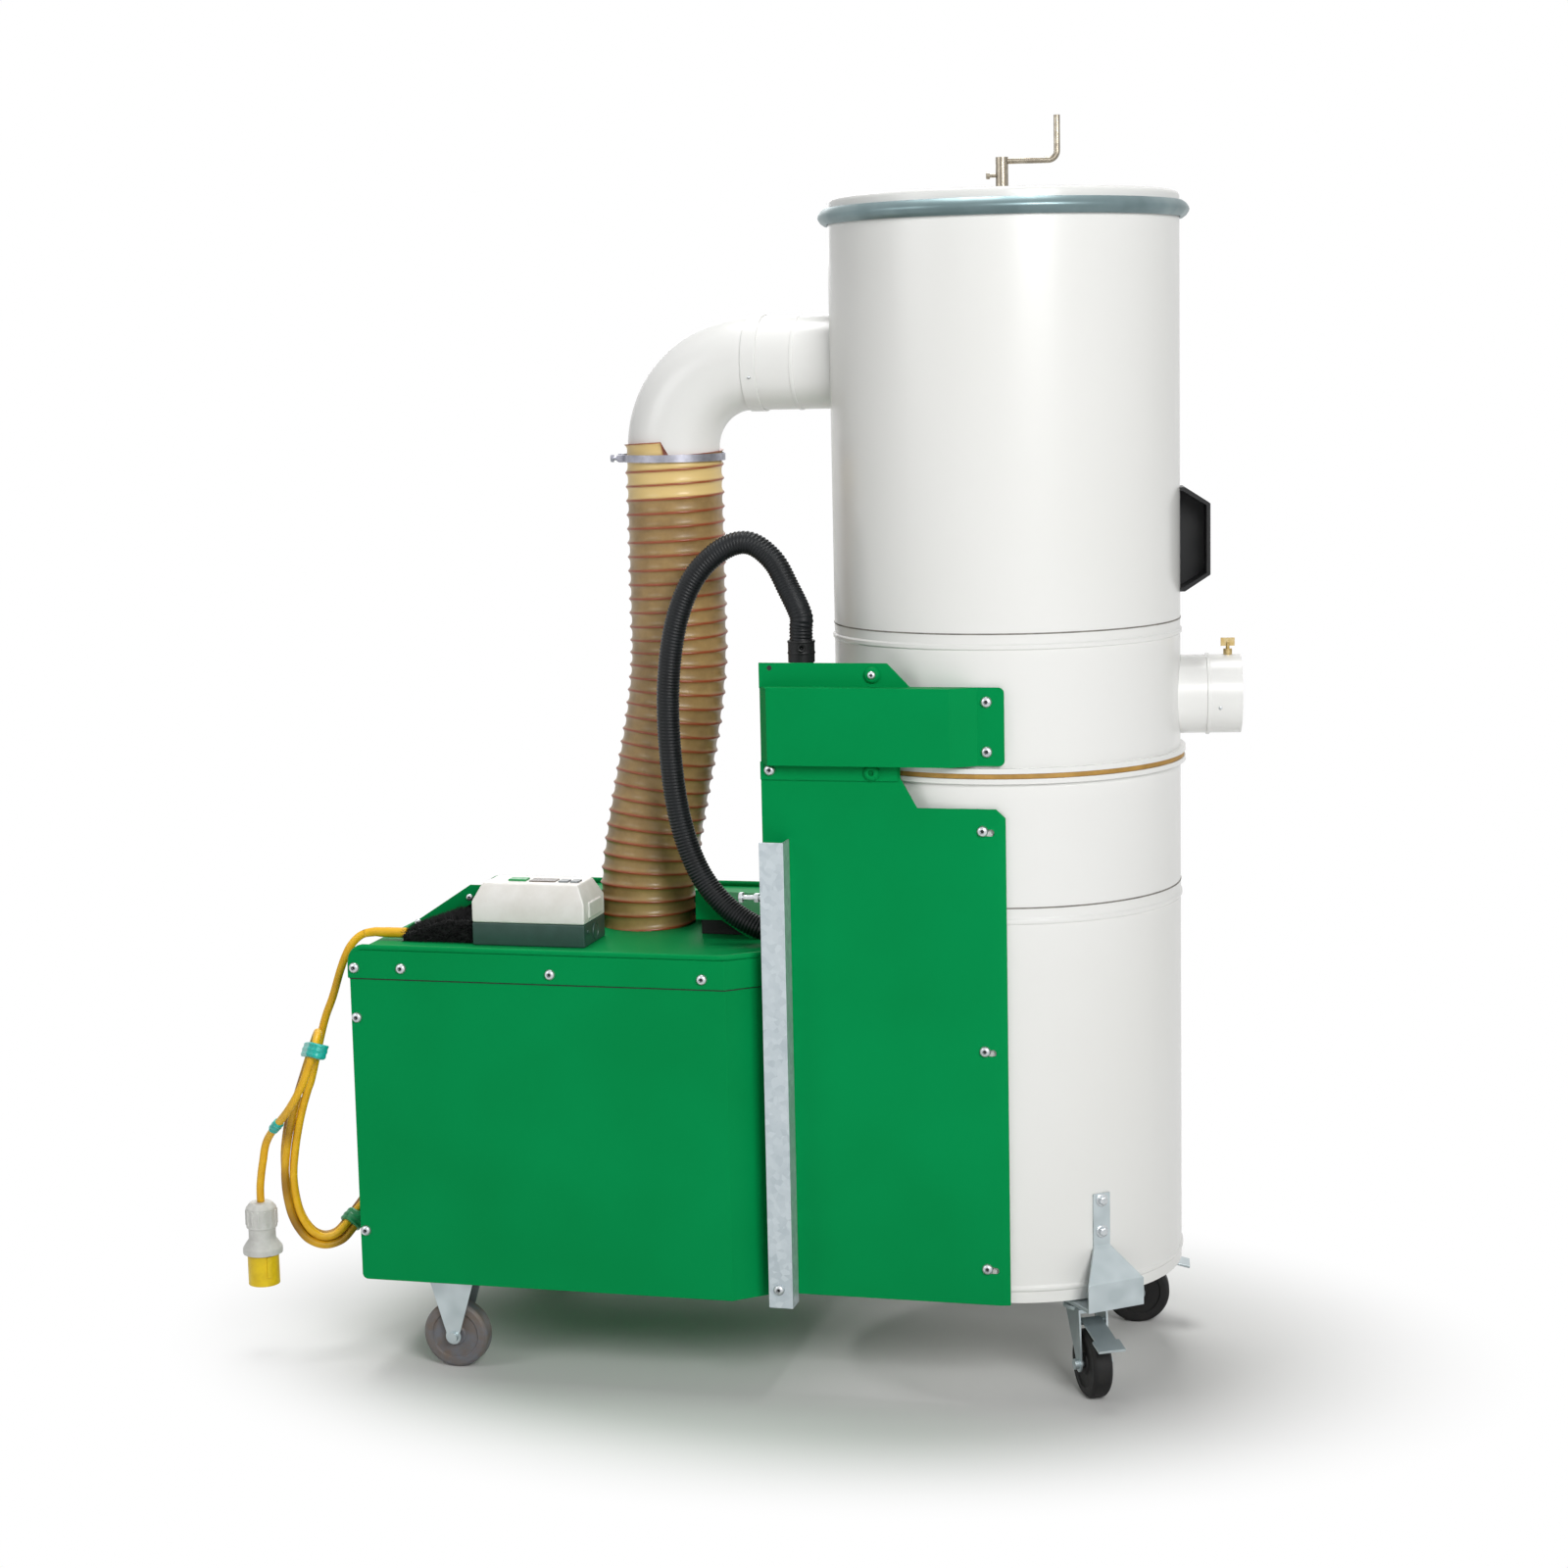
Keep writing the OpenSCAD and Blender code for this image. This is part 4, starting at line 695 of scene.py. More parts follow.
# the cord's way points, and where its handled part begins and ends
def cordLine():
    spec = supplyCord
    side = spec["aside"]
    corner = Vector(spec["corner"])
    bundle = respaced(smoothLine([corner + Vector(p) for p in spec["hank"]]), spec["step"])
    axes = []
    for point, ahead in zip(bundle, headings(bundle)):
        outer = Vector(spec["depth"]).cross(ahead).normalized()
        axes.append((point, ahead, outer, ahead.cross(outer)))
    last = len(bundle)

    def spot(index, aside, deep):
        point, ahead, outer, back = axes[index]
        return point + outer * aside + back * deep

    def run(aside, deep, first, end, step):
        order = list(range(first, end, step))
        return [spot(i, aside, deep) for i in order[::4] + [order[-1]]]

    def farFold(aside):    # round in depth past the far end
        half = spec["farFold"]
        loop = [(t, -w) for t, w in half] + half[-2::-1]
        return [spot(-1, aside, w) + axes[-1][1] * t for t, w in loop]

    def fold(index, shape, aside, toward):    # round in depth before the near end
        r = shape["radius"]
        out = []
        for swing in shape["swings"]:
            t = math.radians(swing)
            out.append(spot(index, aside + shape["drift"] * swing, toward * (side + r - r * math.cos(t)))
                       + axes[index][1] * (shape.get("lift", 0) - r * math.sin(t)))
        return out

    mid, top = spec["midFold"], spec["topFold"]
    turn = int(mid["share"] * last)
    line = [corner + Vector(p) for p in spec["lead"]] + run(-side, -side, spec["runStops"][0], last, 1)
    dirty = len(line)
    line += farFold(-side) + run(-side, side, last - 1, turn, -1)
    line += fold(turn, mid, -side, 1) + [spot(turn + on, side, deep) for on, deep in mid["back"]]
    line += run(side, side, turn + mid["rejoin"], last, 1) + farFold(side)[::-1]
    line += run(side, -side, last - 1, spec["runStops"][1], -1)
    clean = len(line)
    line += fold(0, top, side, -1) + [spot(on, out, -deep) for on, deep, out in top["back"]]
    return line + [corner + Vector(p) for p in spec["tail"]], dirty, clean


def makeCord():
    spec, dirt = supplyCord, supplyCord["dirt"]
    ways, dirty, clean = cordLine()
    steps = 8
    smooth = smoothLine(ways, steps)
    start, end = (lineLength(smooth[:i * steps + 1]) for i in (dirty, clean))
    line = [at(*p) for p in respaced(smooth, spec["gap"])]
    mesh = tube(line, [spec["diameter"] * mm / 2] * len(line), spec["sides"])
    share = mesh.attributes.new("dirt", "FLOAT", "POINT")
    total = lineLength(line) / mm
    for i in range(len(line)):
        walked = total * i / (len(line) - 1)
        inside = max(0.0, min(1.0, min(walked - start, end - walked) / dirt["fade"] + 0.5))
        patches = math.prod(math.sin(walked / wave) for wave in dirt["waves"])
        level = inside * (dirt["level"] + dirt["swing"] * patches)
        for k in range(spec["sides"]):
            share.data[i * spec["sides"] + k].value = max(dirt["least"], level)
    piece = addPiece("supplyCord", mesh, "unit", "cord_yellow", cordYellow,
                     ("cord_lead", "cord_hank", "cord_tail"))
    print("supply cord:", round(total / 1000, 3), "m")
    return piece, line, lineLength(line)


cordPiece, cordPath, cordLong = makeCord()


# the moulded sleeve that keeps the cord from kinking where it leaves the brush
def makeRelief():
    spec = supplyCord["relief"]
    count, extra = spec["points"], spec["root"]
    root = cordPath[0] + Vector((spec["inside"] * mm, 0, 0))
    line = [root.lerp(cordPath[0], t / extra) for t in range(extra)] + cordPath[:count]
    radii = [spec["radius"] * mm] * extra
    radii += [(spec["radius"] - spec["taper"] * i / (count - 1)) * mm for i in range(count)]
    return addPiece("cordRelief", tube(line, radii, spec["sides"]), "unit", "cord_yellow", cordYellow,
                    ("cord_gland",))


# ribbed hoses
suctionHose = {
    "top": (-547, 0, 1500), "shift": (-58, -30), "bottom": 705, "straightShare": 0.4, "steps": 120,
    "radius": 81.5, "ribs": 35, "depth": 4.8, "sides": 72, "stepsPerRib": 12, "helix": -1.0, "sharpness": 3.2,
    "start": 0.761, "lip": 6.2, "paleTurns": 3.5,
}


def growHose(spec, line, pitch, material, **more):
    inputs = {"Radius": spec["radius"] * mm, "Sides": spec["sides"], "Step": pitch / spec["stepsPerRib"],
              "Pitch": pitch, "Rib Depth": spec["depth"] * mm, "Helix": spec["helix"],
              "Sharpness": spec["sharpness"], "Start": spec.get("start", 0.0), "Lip": spec.get("lip", 0.0) * mm,
              "Pale Turns": spec.get("paleTurns", 0.0), "Material": material, "Spiral End": 0.0}
    return grown(ribbedHose, curveOf(line), {**inputs, **more})


def makeSuctionHose():
    spec = suctionHose
    (x, y, z), (shiftX, shiftY), straight = spec["top"], spec["shift"], spec["straightShare"]
    line = []
    for k in range(spec["steps"] + 1):
        share = k / spec["steps"]
        lean = max(0.0, (share - straight) / (1 - straight))
        lean = lean * lean * (3 - 2 * lean)
        line.append(at(x + shiftX * lean, y + shiftY * lean, z + (spec["bottom"] - z) * share))
    pitch = lineLength(line) / spec["ribs"]
    mesh = growHose(spec, line, pitch, hoseFilm, **{"Spiral End": pitch})
    addPiece("suctionHoseFilm", mesh, "unit", "hose_plastic", None, ("suction_hose",))


makeSuctionHose()

bypassHose = {
    "mouth": (-296.2, -171, 1190), "radius": 19, "pitch": 5.2, "stepsPerRib": 5, "depth": 1.6, "sides": 32,
    "helix": 1.0, "sharpness": 1.6, "gap": 4, "foot": (210, 722), "footReach": (366, 348, 330),
    "ways": [(0, 0, 0), (0, 0, 20), (0, 0, 40), (-22, 13, 80), (-49, 21, 125), (-89, 23, 152), (-134, 21, 140),
             (-179, 16, 95), (-209, 11, 20), (-222, 6, -80), (-219, 1, -190), (-204, -4, -290),
             (-174, -9, -370), (-129, -14, -425), (-74, -19, -457)],
}


def makeBypassHose():
    spec = bypassHose
    ways = [Vector(spec["mouth"]) + Vector(p) for p in spec["ways"]]
    swing, z = spec["foot"]
    ways += [Vector((r * math.cos(math.radians(swing)), r * math.sin(math.radians(swing)), z))
             for r in spec["footReach"]]
    line = [at(*p) for p in respaced(smoothLine(ways), spec["gap"])]
    mesh = growHose(spec, line, spec["pitch"] * mm, bypassPlastic)
    piece = addPiece("bypassHoseSkin", mesh, "unit", slotOf["bypass_hose"], None, ("bypass_hose",))
    tuple(line[0])
    lineLength(line)
    [tuple(p) for p in line]
    print("bypass hose:", round(lineLength(line), 3), "m")


makeBypassHose()

dressing = [    # finish, millimetres that the edges are broken by, solids
    (whiteCoat, 0.9, "dust_bin inlet_section filter_housing tower_lid"),
    (whiteCoat, 0.6, "outlet_spigot outlet_sleeve outlet_elbow"), (whiteCoat, 0.5, "bin_floor inlet_pipe"),
    (sealTan, 1.2, "bin_seal"), (brassPlate, 0.4, "inlet_screw"), (nickelWarm, 0.8, "crank_bush crank"),
    (blackPlastic, 2.5, "tower_handle"), (blackPlastic, 1.0, "bypass_elbow bypass_spigot"),
    (clampSteel, 0.3, "hose_clamp"), (galvanised, 0.9, "front_angle rear_angle"),
    (greenCoat, 0.9, "front_side_plate rear_side_plate front_upper_bracket rear_upper_bracket"),
    (greenCoat, 0.9, "fan_case fan_cover"), (greenCoat, 0.7, "exhaust_hood"), (foamBlack, 2.0, "exhaust_foam"),
    (bristleBlack, 1.0, "cable_brush"), (starterTeal, 2.5, "control_base"), (starterWhite, 3.0, "control_cover"),
    (zincPlate, 0.8, "front_castor_bracket rear_castor_bracket front_brake_pedal rear_brake_pedal"),
    (zincPlate, 0.7, "front_swivel_fork rear_swivel_fork front_rigid_fork rear_rigid_fork"),
    (blackRubber, 2.0, "front_swivel_wheel rear_swivel_wheel"),
    (wheelGrey, 2.0, "front_rigid_wheel rear_rigid_wheel"), (plugGrey, 1.5, "plug_body"),
    (plugYellow, 0.8, "plug_sleeve"),
]
ownNames = {"crank": "crankRod", "hose_clamp": "hoseClampBand", "cable_brush": "brushBase"}
plateSlots = {"spots": [(19, 907.5), (19, 564.5), (19, 218.5)], "long": 18, "tall": 10.8, "depth": (272, 292),
              "sides": 24}
hoodNotch = ((-545, -152, 700), (-487, -20, 795))    # room beside the hose, so that it can be drawn off


# the mesh less other ones
def cutBy(mesh, tools):
    cutter = inScene("cutter", joined((tool, Matrix()) for tool in tools))
    sheet = inScene("sheet", mesh)
    cut = sheet.modifiers.new("cut", "BOOLEAN")
    cut.operation, cut.solver, cut.object = "DIFFERENCE", "EXACT", cutter
    result = settled(sheet)
    bpy.data.objects.remove(cutter)
    return evenShaded(result)


# slots beside the plate bolts
def slotTools(side):
    spec = plateSlots
    r = spec["tall"] / 2
    half = spec["long"] / 2 - r
    swings = [2 * math.pi * (k + 0.5) / spec["sides"] for k in range(spec["sides"])]
    for x, z in spec["spots"]:
        yield skinned([[at(x + math.copysign(half, math.cos(t)) + r * math.cos(t), y * side, z + r * math.sin(t))
                        for t in swings] for y in spec["depth"]], "slot")


def notchTool():
    low, high = (at(*corner) for corner in hoodNotch)
    work = bmesh.new()
    bmesh.ops.create_cube(work, size=1, matrix=Matrix.LocRotScale((low + high) / 2, None, high - low))
    return meshOf(work, "notch")


def dressSolids():
    pieces = {}
    for material, edge, nodes in dressing:
        for node in nodes.split():
            mesh = softened(node, edge)
            if node.endswith("_side_plate"):
                mesh = cutBy(mesh, slotTools(-1 if node.startswith("front") else 1))
            if node.startswith("exhaust"):
                mesh = cutBy(mesh, [notchTool()])
            first, *rest = node.split("_")
            name = ownNames.get(node, first + "".join(word.capitalize() for word in rest))
            pieces[node] = addPiece(name, mesh, cadNodes[node]["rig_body"], slotOf[node], material, (node,))
    print("solids dressed:", len(pieces))
    return pieces


dressed = dressSolids()

# the plug's grips and key
plugSpec = {"axis": (-1224, -254), "capMid": 232, "capRadius": 25.2, "grips": 14, "grip": (3.2, 4.5, 26),
            "gripEdge": 1.2, "key": (18, -18, 150), "keySize": (9, 9, 36), "keyEdge": 2.0, "keyTurn": -45}


def makePlugDetails():
    spec = plugSpec
    rib = pattern("gripRib", moulded(spec["grip"], spec["gripEdge"]))
    ring = grown(ribRing, bpy.data.meshes.new("gripRing"), {
        "Rib": rib, "Count": spec["grips"], "Radius": spec["capRadius"] * mm, "Material": plugGrey})
    x, y = spec["axis"]
    ring.transform(Matrix.Translation(at(x, y, spec["capMid"])))
    grips = addPiece("plugGrips", ring, "unit", "plug_grey")
    dx, dy, z = spec["key"]
    key = moulded(spec["keySize"], spec["keyEdge"])
    key.transform(Matrix.Translation(at(x + dx, y + dy, z))
                  @ Matrix.Rotation(math.radians(spec["keyTurn"]), 4, "Z"))
    return [grips, addPiece("plugKey", evenShaded(key), "unit", "plug_yellow", plugYellow)]


# ties on the cord: centre from the corner, way along, half width, half depth, length
cordTapes = {
    "tapeUpper": ((-79, 36, -178), (-10, -17, -42), 16.5, 57, 24, tapeTeal),
    "tapeLower": ((-66, 136, -489), (22, 30, 30), 19, 19, 24, tapeGreen),
}
tailTape = {"fromEnd": 37, "reach": 2, "radius": 8.6, "tall": 30}    # counted in points of the cord's path
tapeTurns = {"rows": 14, "sides": 40, "pull": 0.1, "lap": (0.5, 17), "wrinkle": (0.35, 5, 3),
             "slant": (1.5, 0.6)}


def tapeWrap(name, centre, along, halfWide, halfDeep, tall, material):
    rows, sides = tapeTurns["rows"], tapeTurns["sides"]
    (lapSize, laps), (size, waves, creep) = tapeTurns["lap"], tapeTurns["wrinkle"]
    slant, slantFrom = tapeTurns["slant"]
    ahead = Vector(along).normalized()
    wide = Vector(supplyCord["depth"]).cross(ahead).normalized()
    deep = ahead.cross(wide)
    rings = []
    for i in range(rows + 1):
        t = i / rows
        drawn = halfWide * (1 - tapeTurns["pull"] * (1 - math.sin(math.pi * t) ** 0.4))    # tight at both ends
        ring = []
        for k in range(sides):
            angle = 2 * math.pi * (k + 0.5) / sides
            r = drawn + size * math.sin(waves * angle + creep * t) + lapSize * math.sin(t * laps)
            x = r * math.cos(angle)
            y = r * math.sin(angle) + math.copysign(halfDeep - halfWide, math.sin(angle))
            z = (t - 0.5) * tall + slant * math.cos(angle + slantFrom)
            ring.append(centre + (wide * x + deep * y + ahead * z) * mm)
        rings.append(ring)
    return addPiece(name, evenShaded(skinned(rings, name), angle=60), "unit", "cord_yellow", material)


def dressCord():
    bits = makePlugDetails()
    for name, (place, *shape) in cordTapes.items():
        bits.append(tapeWrap(name, at(*(Vector(supplyCord["corner"]) + Vector(place))), *shape))
    back, reach, r = -tailTape["fromEnd"], tailTape["reach"], tailTape["radius"]
    bits.append(tapeWrap("tapeTail", cordPath[back], cordPath[back - reach] - cordPath[back + reach], r, r,
                         tailTape["tall"], tapeTeal))
    bits.append(makeRelief())
    tuple(cordPath[0])
    [tuple(p) for p in cordPath]
    print("cord dressed:", len(bits), "pieces on it")


dressCord()

# bolts, bosses, and discs of painted shade for holes and bolt sockets, turned about the line they stand on
headShapes = {
    "buttonHead": ([(0, 3.0), (3.1, 3.0), (3.4, 5.9), (5.6, 5.5), (7.5, 4.1), (8.7, 1.5), (8.8, -0.4)], 24),
    "greenBoss": ([(0, 1.2), (3.9, 1.2), (4.4, 5.2), (6.6, 6.2), (9.6, 5.4), (12.4, 2.6), (13.4, -0.4)], 32),
    # painted shade: a dark disc that stands for the shade inside a hole
    "darkHole": ([(0, 0.25), (3.4, 0.25), (3.9, 0.1), (4.0, -0.4)], 20),
    "rivetHead": ([(0, 1.7), (1.6, 1.5), (2.8, 0.7), (3.1, -0.3)], 16),
}
# painted shade: a dark hexagon on the floor of each button head's recess
socketFloor = ([(0, 3.5), (2.6, 3.5), (3.0, 3.2), (3.05, 2.6)], 6)
flangeHead = [([(0, 7.6), (5.2, 7.6), (7.2, 6.6), (7.4, 1.2), (7.4, 0.8)], 6),
              ([(0, 1.9), (9.2, 1.9), (10.2, 1.2), (10.4, -0.4)], 24)]
# across and height of each head, on the named sheet; the same at the front and the rear
sheetHeads = {
    "{}_side_plate": [(10, 910), (10, 567), (10, 221)],
    "{}_upper_bracket": [(18, 1108), (18, 1032), (-322, 1000)],
    "{}_angle": [(-316, 180)],
    "fan_cover": [(-1008, 676), (-928, 677), (-677, 675), (-428, 675)],
    "fan_case": [(-1008, 594), (-1008, 240)],
}
endHeads = {"start": -1300, "spots": [(-110, 676), (190, 676)]}    # on the cover's far end: depth and height
hoodHeads = {"size": 0.7, "spots": [(-966, 717), (-874, 762)]}
bracketBosses, flangeHole = [(-161, 998), (-158, 1148)], (-320, 1158)
bossHead = {"rise": 4.5, "size": 0.78}    # the head in the upper boss
castorHeads = {"turn": 50, "heights": (321, 271)}
rivetSpots = [    # pipe, start, way, facing
    ("outlet_sleeve", (-398, -400, 1600), (0, 1, 0), (0, -1, 0.25)),
    ("outlet_sleeve", (-398, 400, 1640), (0, -1, 0), (0, 1, 0.2)),
    ("inlet_pipe", (340, -300, 1068), (0, 1, 0), (0, -1, -0.3)),
]
clearOf = 700    # lines to the sheets start this far out


# heads at places in tower millimetres, each with place, facing and perhaps size
def setHeads(name, head, spots, slot, material):
    mesh = bpy.data.meshes.new(name)
    mesh.from_pydata([at(*spot[0]) for spot in spots], [], [])
    mesh.attributes.new("facing", "FLOAT_VECTOR", "POINT")
    mesh.attributes.new("size", "FLOAT", "POINT")
    for i, spot in enumerate(spots):
        mesh.attributes["facing"].data[i].vector = Vector(spot[1]).normalized()
        mesh.attributes["size"].data[i].value = spot[2] if len(spot) > 2 else 1.0
    addPiece(name, grown(headsOnPoints, mesh, {"Head": head, "Material": material}), "unit", slot)


def setFasteners():
    heads = {name: pattern(name, smoothed(turned(*shape))) for name, shape in headShapes.items()}
    flange = pattern("flangeHead", joined((turned(*shape), Matrix()) for shape in flangeHead))
    buttons, flanges, bosses, holes = [], [], [], []
    for end, side in (("front", -1), ("rear", 1)):
        out = (0, side, 0)

        def onSheet(node, x, z):
            return landed(node.format(end), (x, clearOf * side, z), (0, -side, 0))

        for sheet, spots in sheetHeads.items():
            buttons += [(onSheet(sheet, *spot), out) for spot in spots]
        places = [onSheet("{}_upper_bracket", *spot) for spot in bracketBosses]
        bosses += [(place, out) for place in places]
        x, y, z = places[-1]
        buttons.append(((x, y + bossHead["rise"] * side, z), out, bossHead["size"]))
        holes.append((onSheet("{}_upper_bracket", *flangeHole), out))
        turn = math.radians(castorHeads["turn"]) * side
        outward = Vector((math.cos(turn), math.sin(turn), 0))
        begin = outward * clearOf
        for z in castorHeads["heights"]:
            flanges.append((landed(end + "_castor_bracket", (begin.x, begin.y, z), -outward), outward))
    for y, z in endHeads["spots"]:
        buttons.append((landed("fan_cover", (endHeads["start"], y, z), (1, 0, 0)), (-1, 0, 0)))
    for x, z in hoodHeads["spots"]:
        buttons.append((landed("exhaust_hood", (x, -clearOf, z), (0, 1, 0)), (0, -1, 0), hoodHeads["size"]))
    rivets = [(landed(node, start, way), out) for node, start, way, out in rivetSpots]
    setHeads("sheetBolts", heads["buttonHead"], buttons, "zinc_plate", boltZinc)
    # painted shade in the bolts' recesses
    setHeads("boltSockets", pattern("socketFloor", turned(*socketFloor)), buttons, "zinc_plate", paintedShade)
    setHeads("castorBolts", flange, flanges, "zinc_plate", boltZinc)
    setHeads("bracketBosses", heads["greenBoss"], bosses, "frame_paint", greenCoat)
    # painted shade where the bracket's holes are
    setHeads("bracketHoles", heads["darkHole"], holes, "frame_paint", paintedShade)
    setHeads("pipeRivets", heads["rivetHead"], rivets, "zinc_plate", boltZinc)
    print("fasteners:", len(buttons) + len(flanges) + len(bosses) + len(holes) + len(rivets))


setFasteners()

# rings round the tower: the lid's clamp band, and the dark joints between the sections
towerRings = {
    "clampMid": 1845, "joints": (1210, 790), "sides": 160,
    "clamp": [(276, 11.5), (281, 12.6), (286, 8.8), (289.6, 3.4), (290.6, 0), (289.6, -3.4), (286, -8.8),
              (281, -12.6), (276, -11.5), (277.5, -7), (277.5, 7)],
    "joint": [(274, -1.1), (275.5, -1.1), (275.8, 0), (275.5, 1.1), (274, 1.1)],
}


def makeRings():
    spec = towerRings

    def ring(section, z):
        return ringed([(r, z + h) for r, h in spec[section]], spec["sides"]), Matrix.Translation(at(0, 0, 0))

    addPiece("lidClampRing", evenShaded(joined([ring("clamp", spec["clampMid"])])), "unit", "zinc_plate",
             clampZinc, ("lid_clamp_ring",))
    addPiece("towerJoints", joined([ring("joint", z) for z in spec["joints"]]), "unit", "seal_rubber", jointGrey)
    print("tower rings")


makeRings()

# starter box: keys and window on the cover, a ridge and a knock-out on its right end
starterKeys = {    # edge, finish, then place and size of each
    "startKey": (1.5, keyGreen, [((-765, -208, 804.6), (30, 22, 5))]),
    "starterWindow": (0.8, windowBrown, [((-722, -208, 804.3), (44, 26, 2.6))]),
    "starterKeys": (1.2, keyGrey, [((-686, -212, 804.6), (16, 20, 4)), ((-667, -212, 804.6), (14, 20, 4))]),
    "starterRidge": (2.4, starterWhite, [((-640, -205, 762), (6, 62, 26))]),
}
starterEnd = [    # place on the right end, turned shape
    ((-640, -202, 723), ([(0, 0.8), (9.5, 0.8), (10.2, 0.2), (11.0, 0.2), (11.6, 1.2), (13.6, 1.2),
                          (14.2, -0.5)], 32)),
    ((-640, -241, 728), ([(0, 0.6), (1.4, 0.6), (1.6, 2.0), (3.4, 1.6), (3.8, -0.4)], 20)),
]


def makeStarter():
    for name, (edge, material, spots) in starterKeys.items():
        parts = [(moulded(size, edge, segments=3), Matrix.Translation(at(*place))) for place, size in spots]
        addPiece(name, evenShaded(joined(parts)), "unit", "control_grey", material)
    ends = joined((turned(*shape), facing(place, (1, 0, 0))) for place, shape in starterEnd)
    addPiece("starterKnockout", evenShaded(ends), "unit", "control_grey", starterTeal)
    print("starter box")


makeStarter()

# the cover's rolled front and rear rims, above its flat top, and a line of painted shadow in the gap under its skirt
coverRim = {"out": 320, "radius": 5, "sides": 16, "mid": 709, "ends": (-1020, -337), "corner": (25, 20),
            "rise": 9, "steps": 8, "chamfer": (55, 45), "straight": (-900, -700, -500), "before": 14,
            "drawIn": 0.994, "short": (6, 5)}
# painted shadow: a dark tube along the gap under the cover's skirt
skirtGap = {"out": 322.8, "z": 658, "radius": 1.0, "sides": 8, "inset": (2.2, 3), "shares": (0.002, 0.5, 0.998)}


def makeRims():
    spec = coverRim
    (left, right), (corner, low), (along, deep) = spec["ends"], spec["corner"], spec["chamfer"]
    top, rise, steps = spec["mid"], spec["rise"], spec["steps"]
    middle = top - low - rise    # of the roll
    parts = []
    for side in (-1, 1):
        y = spec["out"] * side
        line = []
        for k in range(steps + 1):    # up round the rolled far corner, rising out of the sheet
            swing = math.radians(180 - 90 * k / steps)
            reach = low + rise * k / steps
            line.append(at(left + corner + reach * math.cos(swing), y, middle + reach * math.sin(swing)))
        line += [at(x, y, top) for x in (*spec["straight"], right - along - spec["before"])]
        line += [at(right - along, y * spec["drawIn"], top),
                 at(right - spec["short"][0], y - (deep - spec["short"][1]) * side, top)]
        parts.append((tube(line, [spec["radius"] * mm] * len(line), spec["sides"]), Matrix()))
    addPiece("coverRims", evenShaded(joined(parts)), "unit", "frame_paint", greenCoat)


# a dark tube of painted shadow under the skirt's lower edge
def makeSkirtGap():
    spec = skirtGap
    (left, right), (along, deep), out = coverRim["ends"], coverRim["chamfer"], spec["out"]
    left, last = left + spec["inset"][0], right - spec["inset"][1]
    plan = [(last, deep - out), (right - along, -out), (left, -out), (left, out), (right - along, out),
            (last, out - deep)]
    line = []
    for (x0, y0), (x1, y1) in zip(plan, plan[1:]):
        line += [at(x0 + (x1 - x0) * t, y0 + (y1 - y0) * t, spec["z"]) for t in spec["shares"]]
    addPiece("skirtGap", tube(line, [spec["radius"] * mm] * len(line), spec["sides"]), "unit", "frame_paint",
             paintedShade)


makeRims()
makeSkirtGap()
print("cover rims")

# fittings: hose clamp bolt, cuff of the bypass hose, bolt in the angle, crank's set screw
clampBolt = {"place": (-632, -20, 1473), "way": (-1, -0.2, 0), "block": (13, 11, 13), "edge": 2,
             "shank": ([(0, 12), (3.2, 12), (3.2, -4), (0, -4)], 16),
             "nut": ([(0, 17), (4.4, 17), (6.6, 16), (7, 11.6), (0, 11.6)], 6)}
bypassCuff = {"axis": (-296.2, -171), "ribs": (1171, 1188.5), "sides": 40,
              "rib": [(19, -2.6), (21.4, -2), (22.1, 0), (21.4, 2), (19, 2.6)],
              "lugAt": (6, -22, 1180), "lugWay": (0.27, -0.96, 0),
              "lug": ([(0, 1), (2.6, 1), (3, 4.2), (5.4, 4.2), (6.2, 3.4), (6.6, -3)], 24)}
angleBolt = {"place": (-365, -299, 802), "way": (-1, 0, 0),
             "head": ([(0, 7), (6, 7), (8.4, 5.8), (8.7, 0), (0, 0)], 6),
             "shank": ([(0, 1), (4, 1), (4, -66), (0, -66)], 16),
             "nut": ([(0, -18), (6.8, -18), (7.6, -19), (7.6, -25), (6.8, -26), (0, -26)], 6)}
setScrew = {"reach": 19, "z": 1904.4, "swing": 10, "head": ([(0, 6), (4.4, 6), (5.5, 5), (5.5, 0), (0, 0)], 16)}


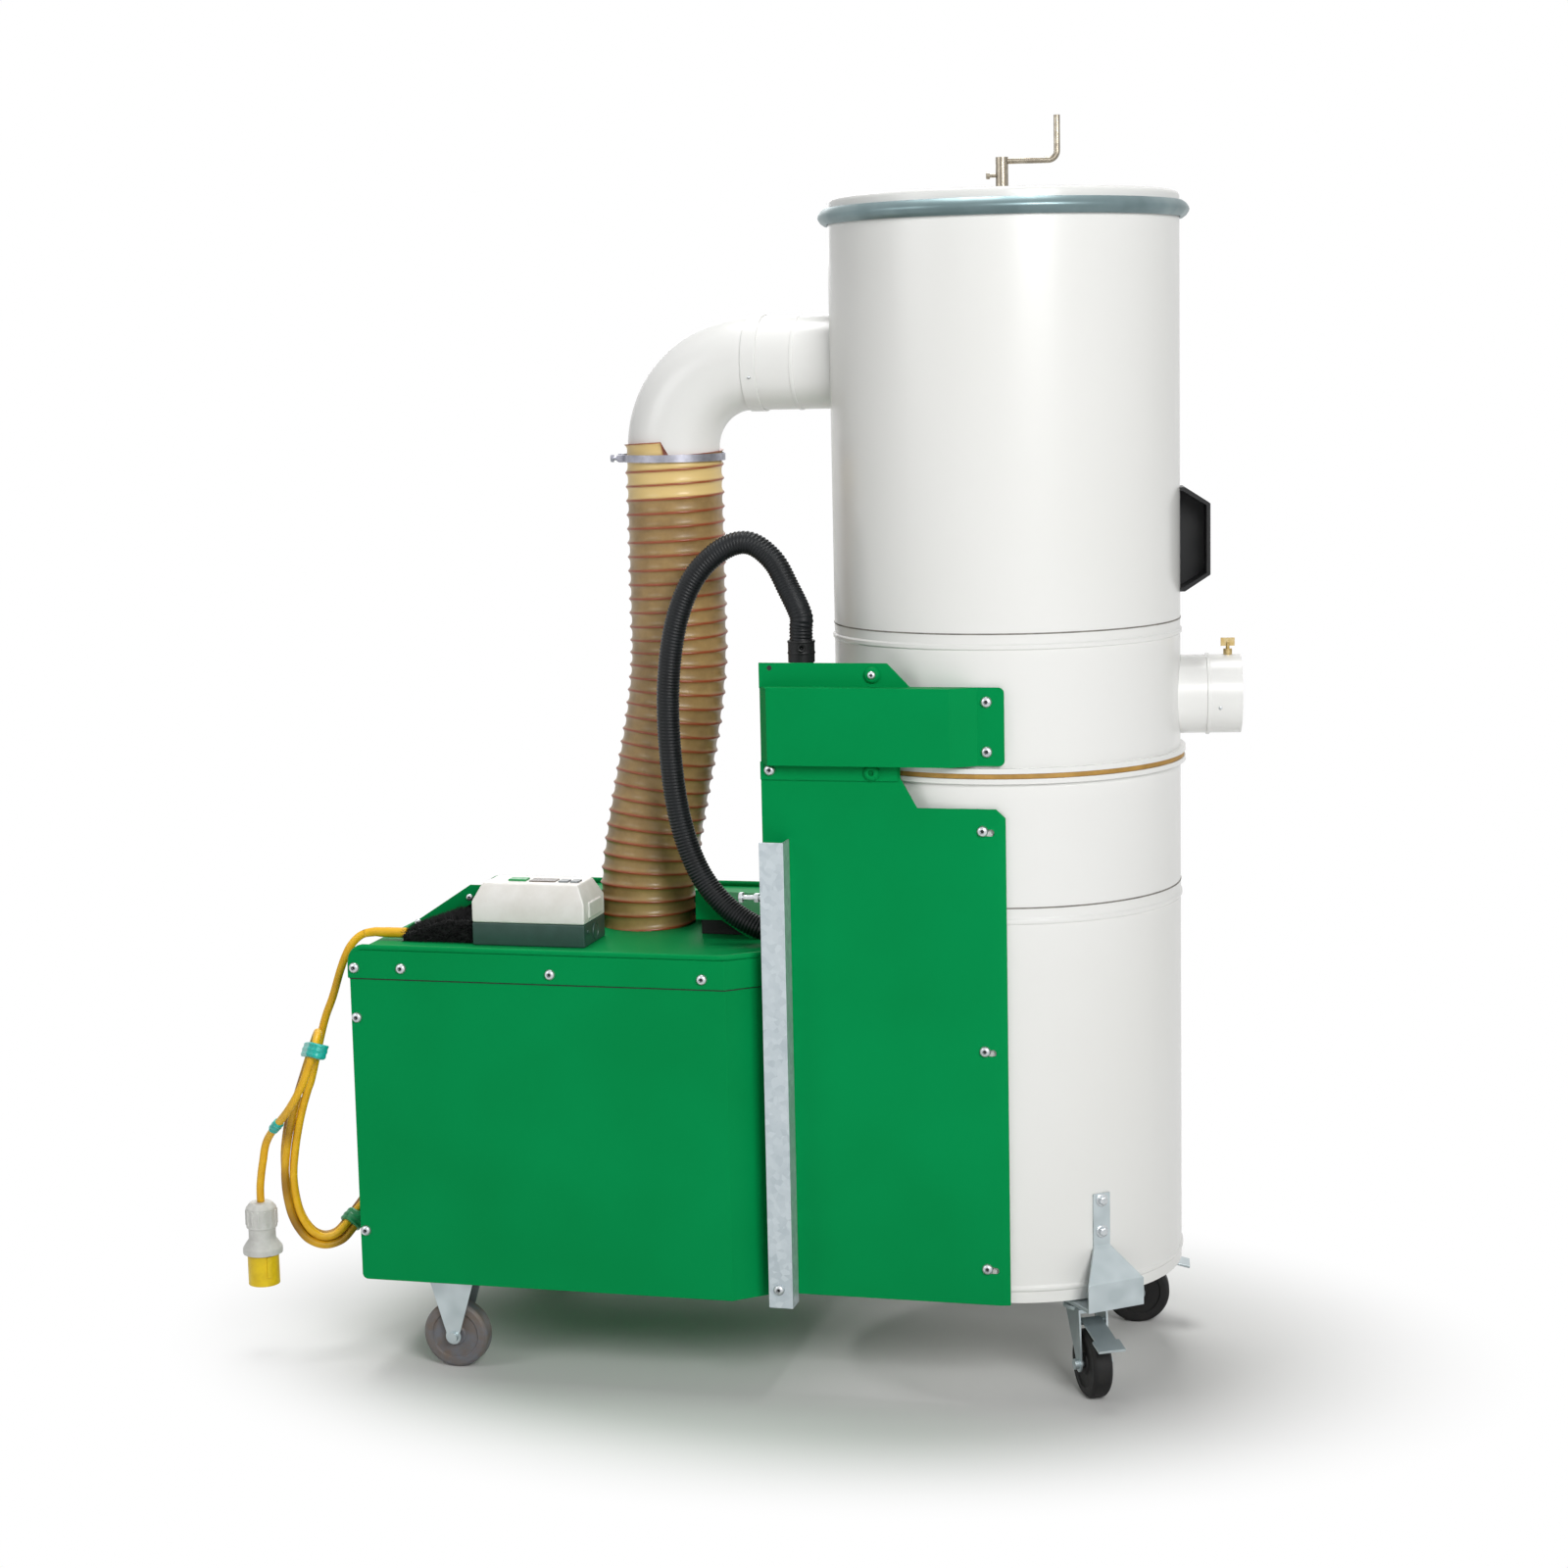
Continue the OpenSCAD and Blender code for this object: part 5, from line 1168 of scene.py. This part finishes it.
def makeFittings():
    spec = clampBolt
    turn = facing(spec["place"], spec["way"])
    parts = [(moulded(spec["block"], spec["edge"]), turn)] + [(turned(*spec[k]), turn) for k in ("shank", "nut")]
    addPiece("hoseClampBolt", evenShaded(joined(parts), angle=40), "unit", "zinc_plate", clampSteel)
    spec = bypassCuff
    x, y = spec["axis"]
    parts = [(ringed([(r, z + h) for r, h in spec["rib"]], spec["sides"]), Matrix.Translation(at(x, y, 0)))
             for z in spec["ribs"]]
    dx, dy, z = spec["lugAt"]
    parts.append((turned(*spec["lug"]), facing((x + dx, y + dy, z), spec["lugWay"])))
    addPiece("bypassCuff", evenShaded(joined(parts)), "unit", "black_rubber", blackPlastic)
    spec = angleBolt
    turn = facing(spec["place"], spec["way"])
    parts = [(turned(*spec[k]), turn) for k in ("head", "shank", "nut")]
    addPiece("angleBolt", evenShaded(joined(parts), angle=40), "unit", "zinc_plate", boltZinc)
    spec = setScrew
    swing = math.radians(spec["swing"])
    way = Vector((-math.cos(swing), -math.sin(swing), 0))
    head = joined([(turned(*spec["head"]), facing(way * spec["reach"] + Vector((0, 0, spec["z"])), way))])
    addPiece("crankSetScrew", evenShaded(head, angle=40), cadNodes["crank"]["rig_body"], slotOf["crank"], nickelWarm)
    print("fittings")


makeFittings()

# bristles on the cable brush's top and front
brushSpec = {"density": 200000, "length": 12, "thickness": 0.7, "lean": 0.7, "seed": 7, "up": 0.2, "front": -0.5}


def makeBrush():
    spec = brushSpec
    work = merged("cable_brush")
    work.normal_update()
    hidden = [f for f in work.faces if f.normal.z < spec["up"] and f.normal.y > spec["front"]]
    bmesh.ops.delete(work, geom=hidden, context="FACES")
    tuft = grown(bristles, meshOf(work, "brush"), {
        "Density": spec["density"], "Length": spec["length"] * mm, "Thickness": spec["thickness"] * mm,
        "Lean": spec["lean"], "Seed": spec["seed"], "Material": bristleBlack})
    addPiece("brushBristles", tuft, "unit", slotOf["cable_brush"])
    print("brush:", len(tuft.polygons), "faces of bristle")


makeBrush()
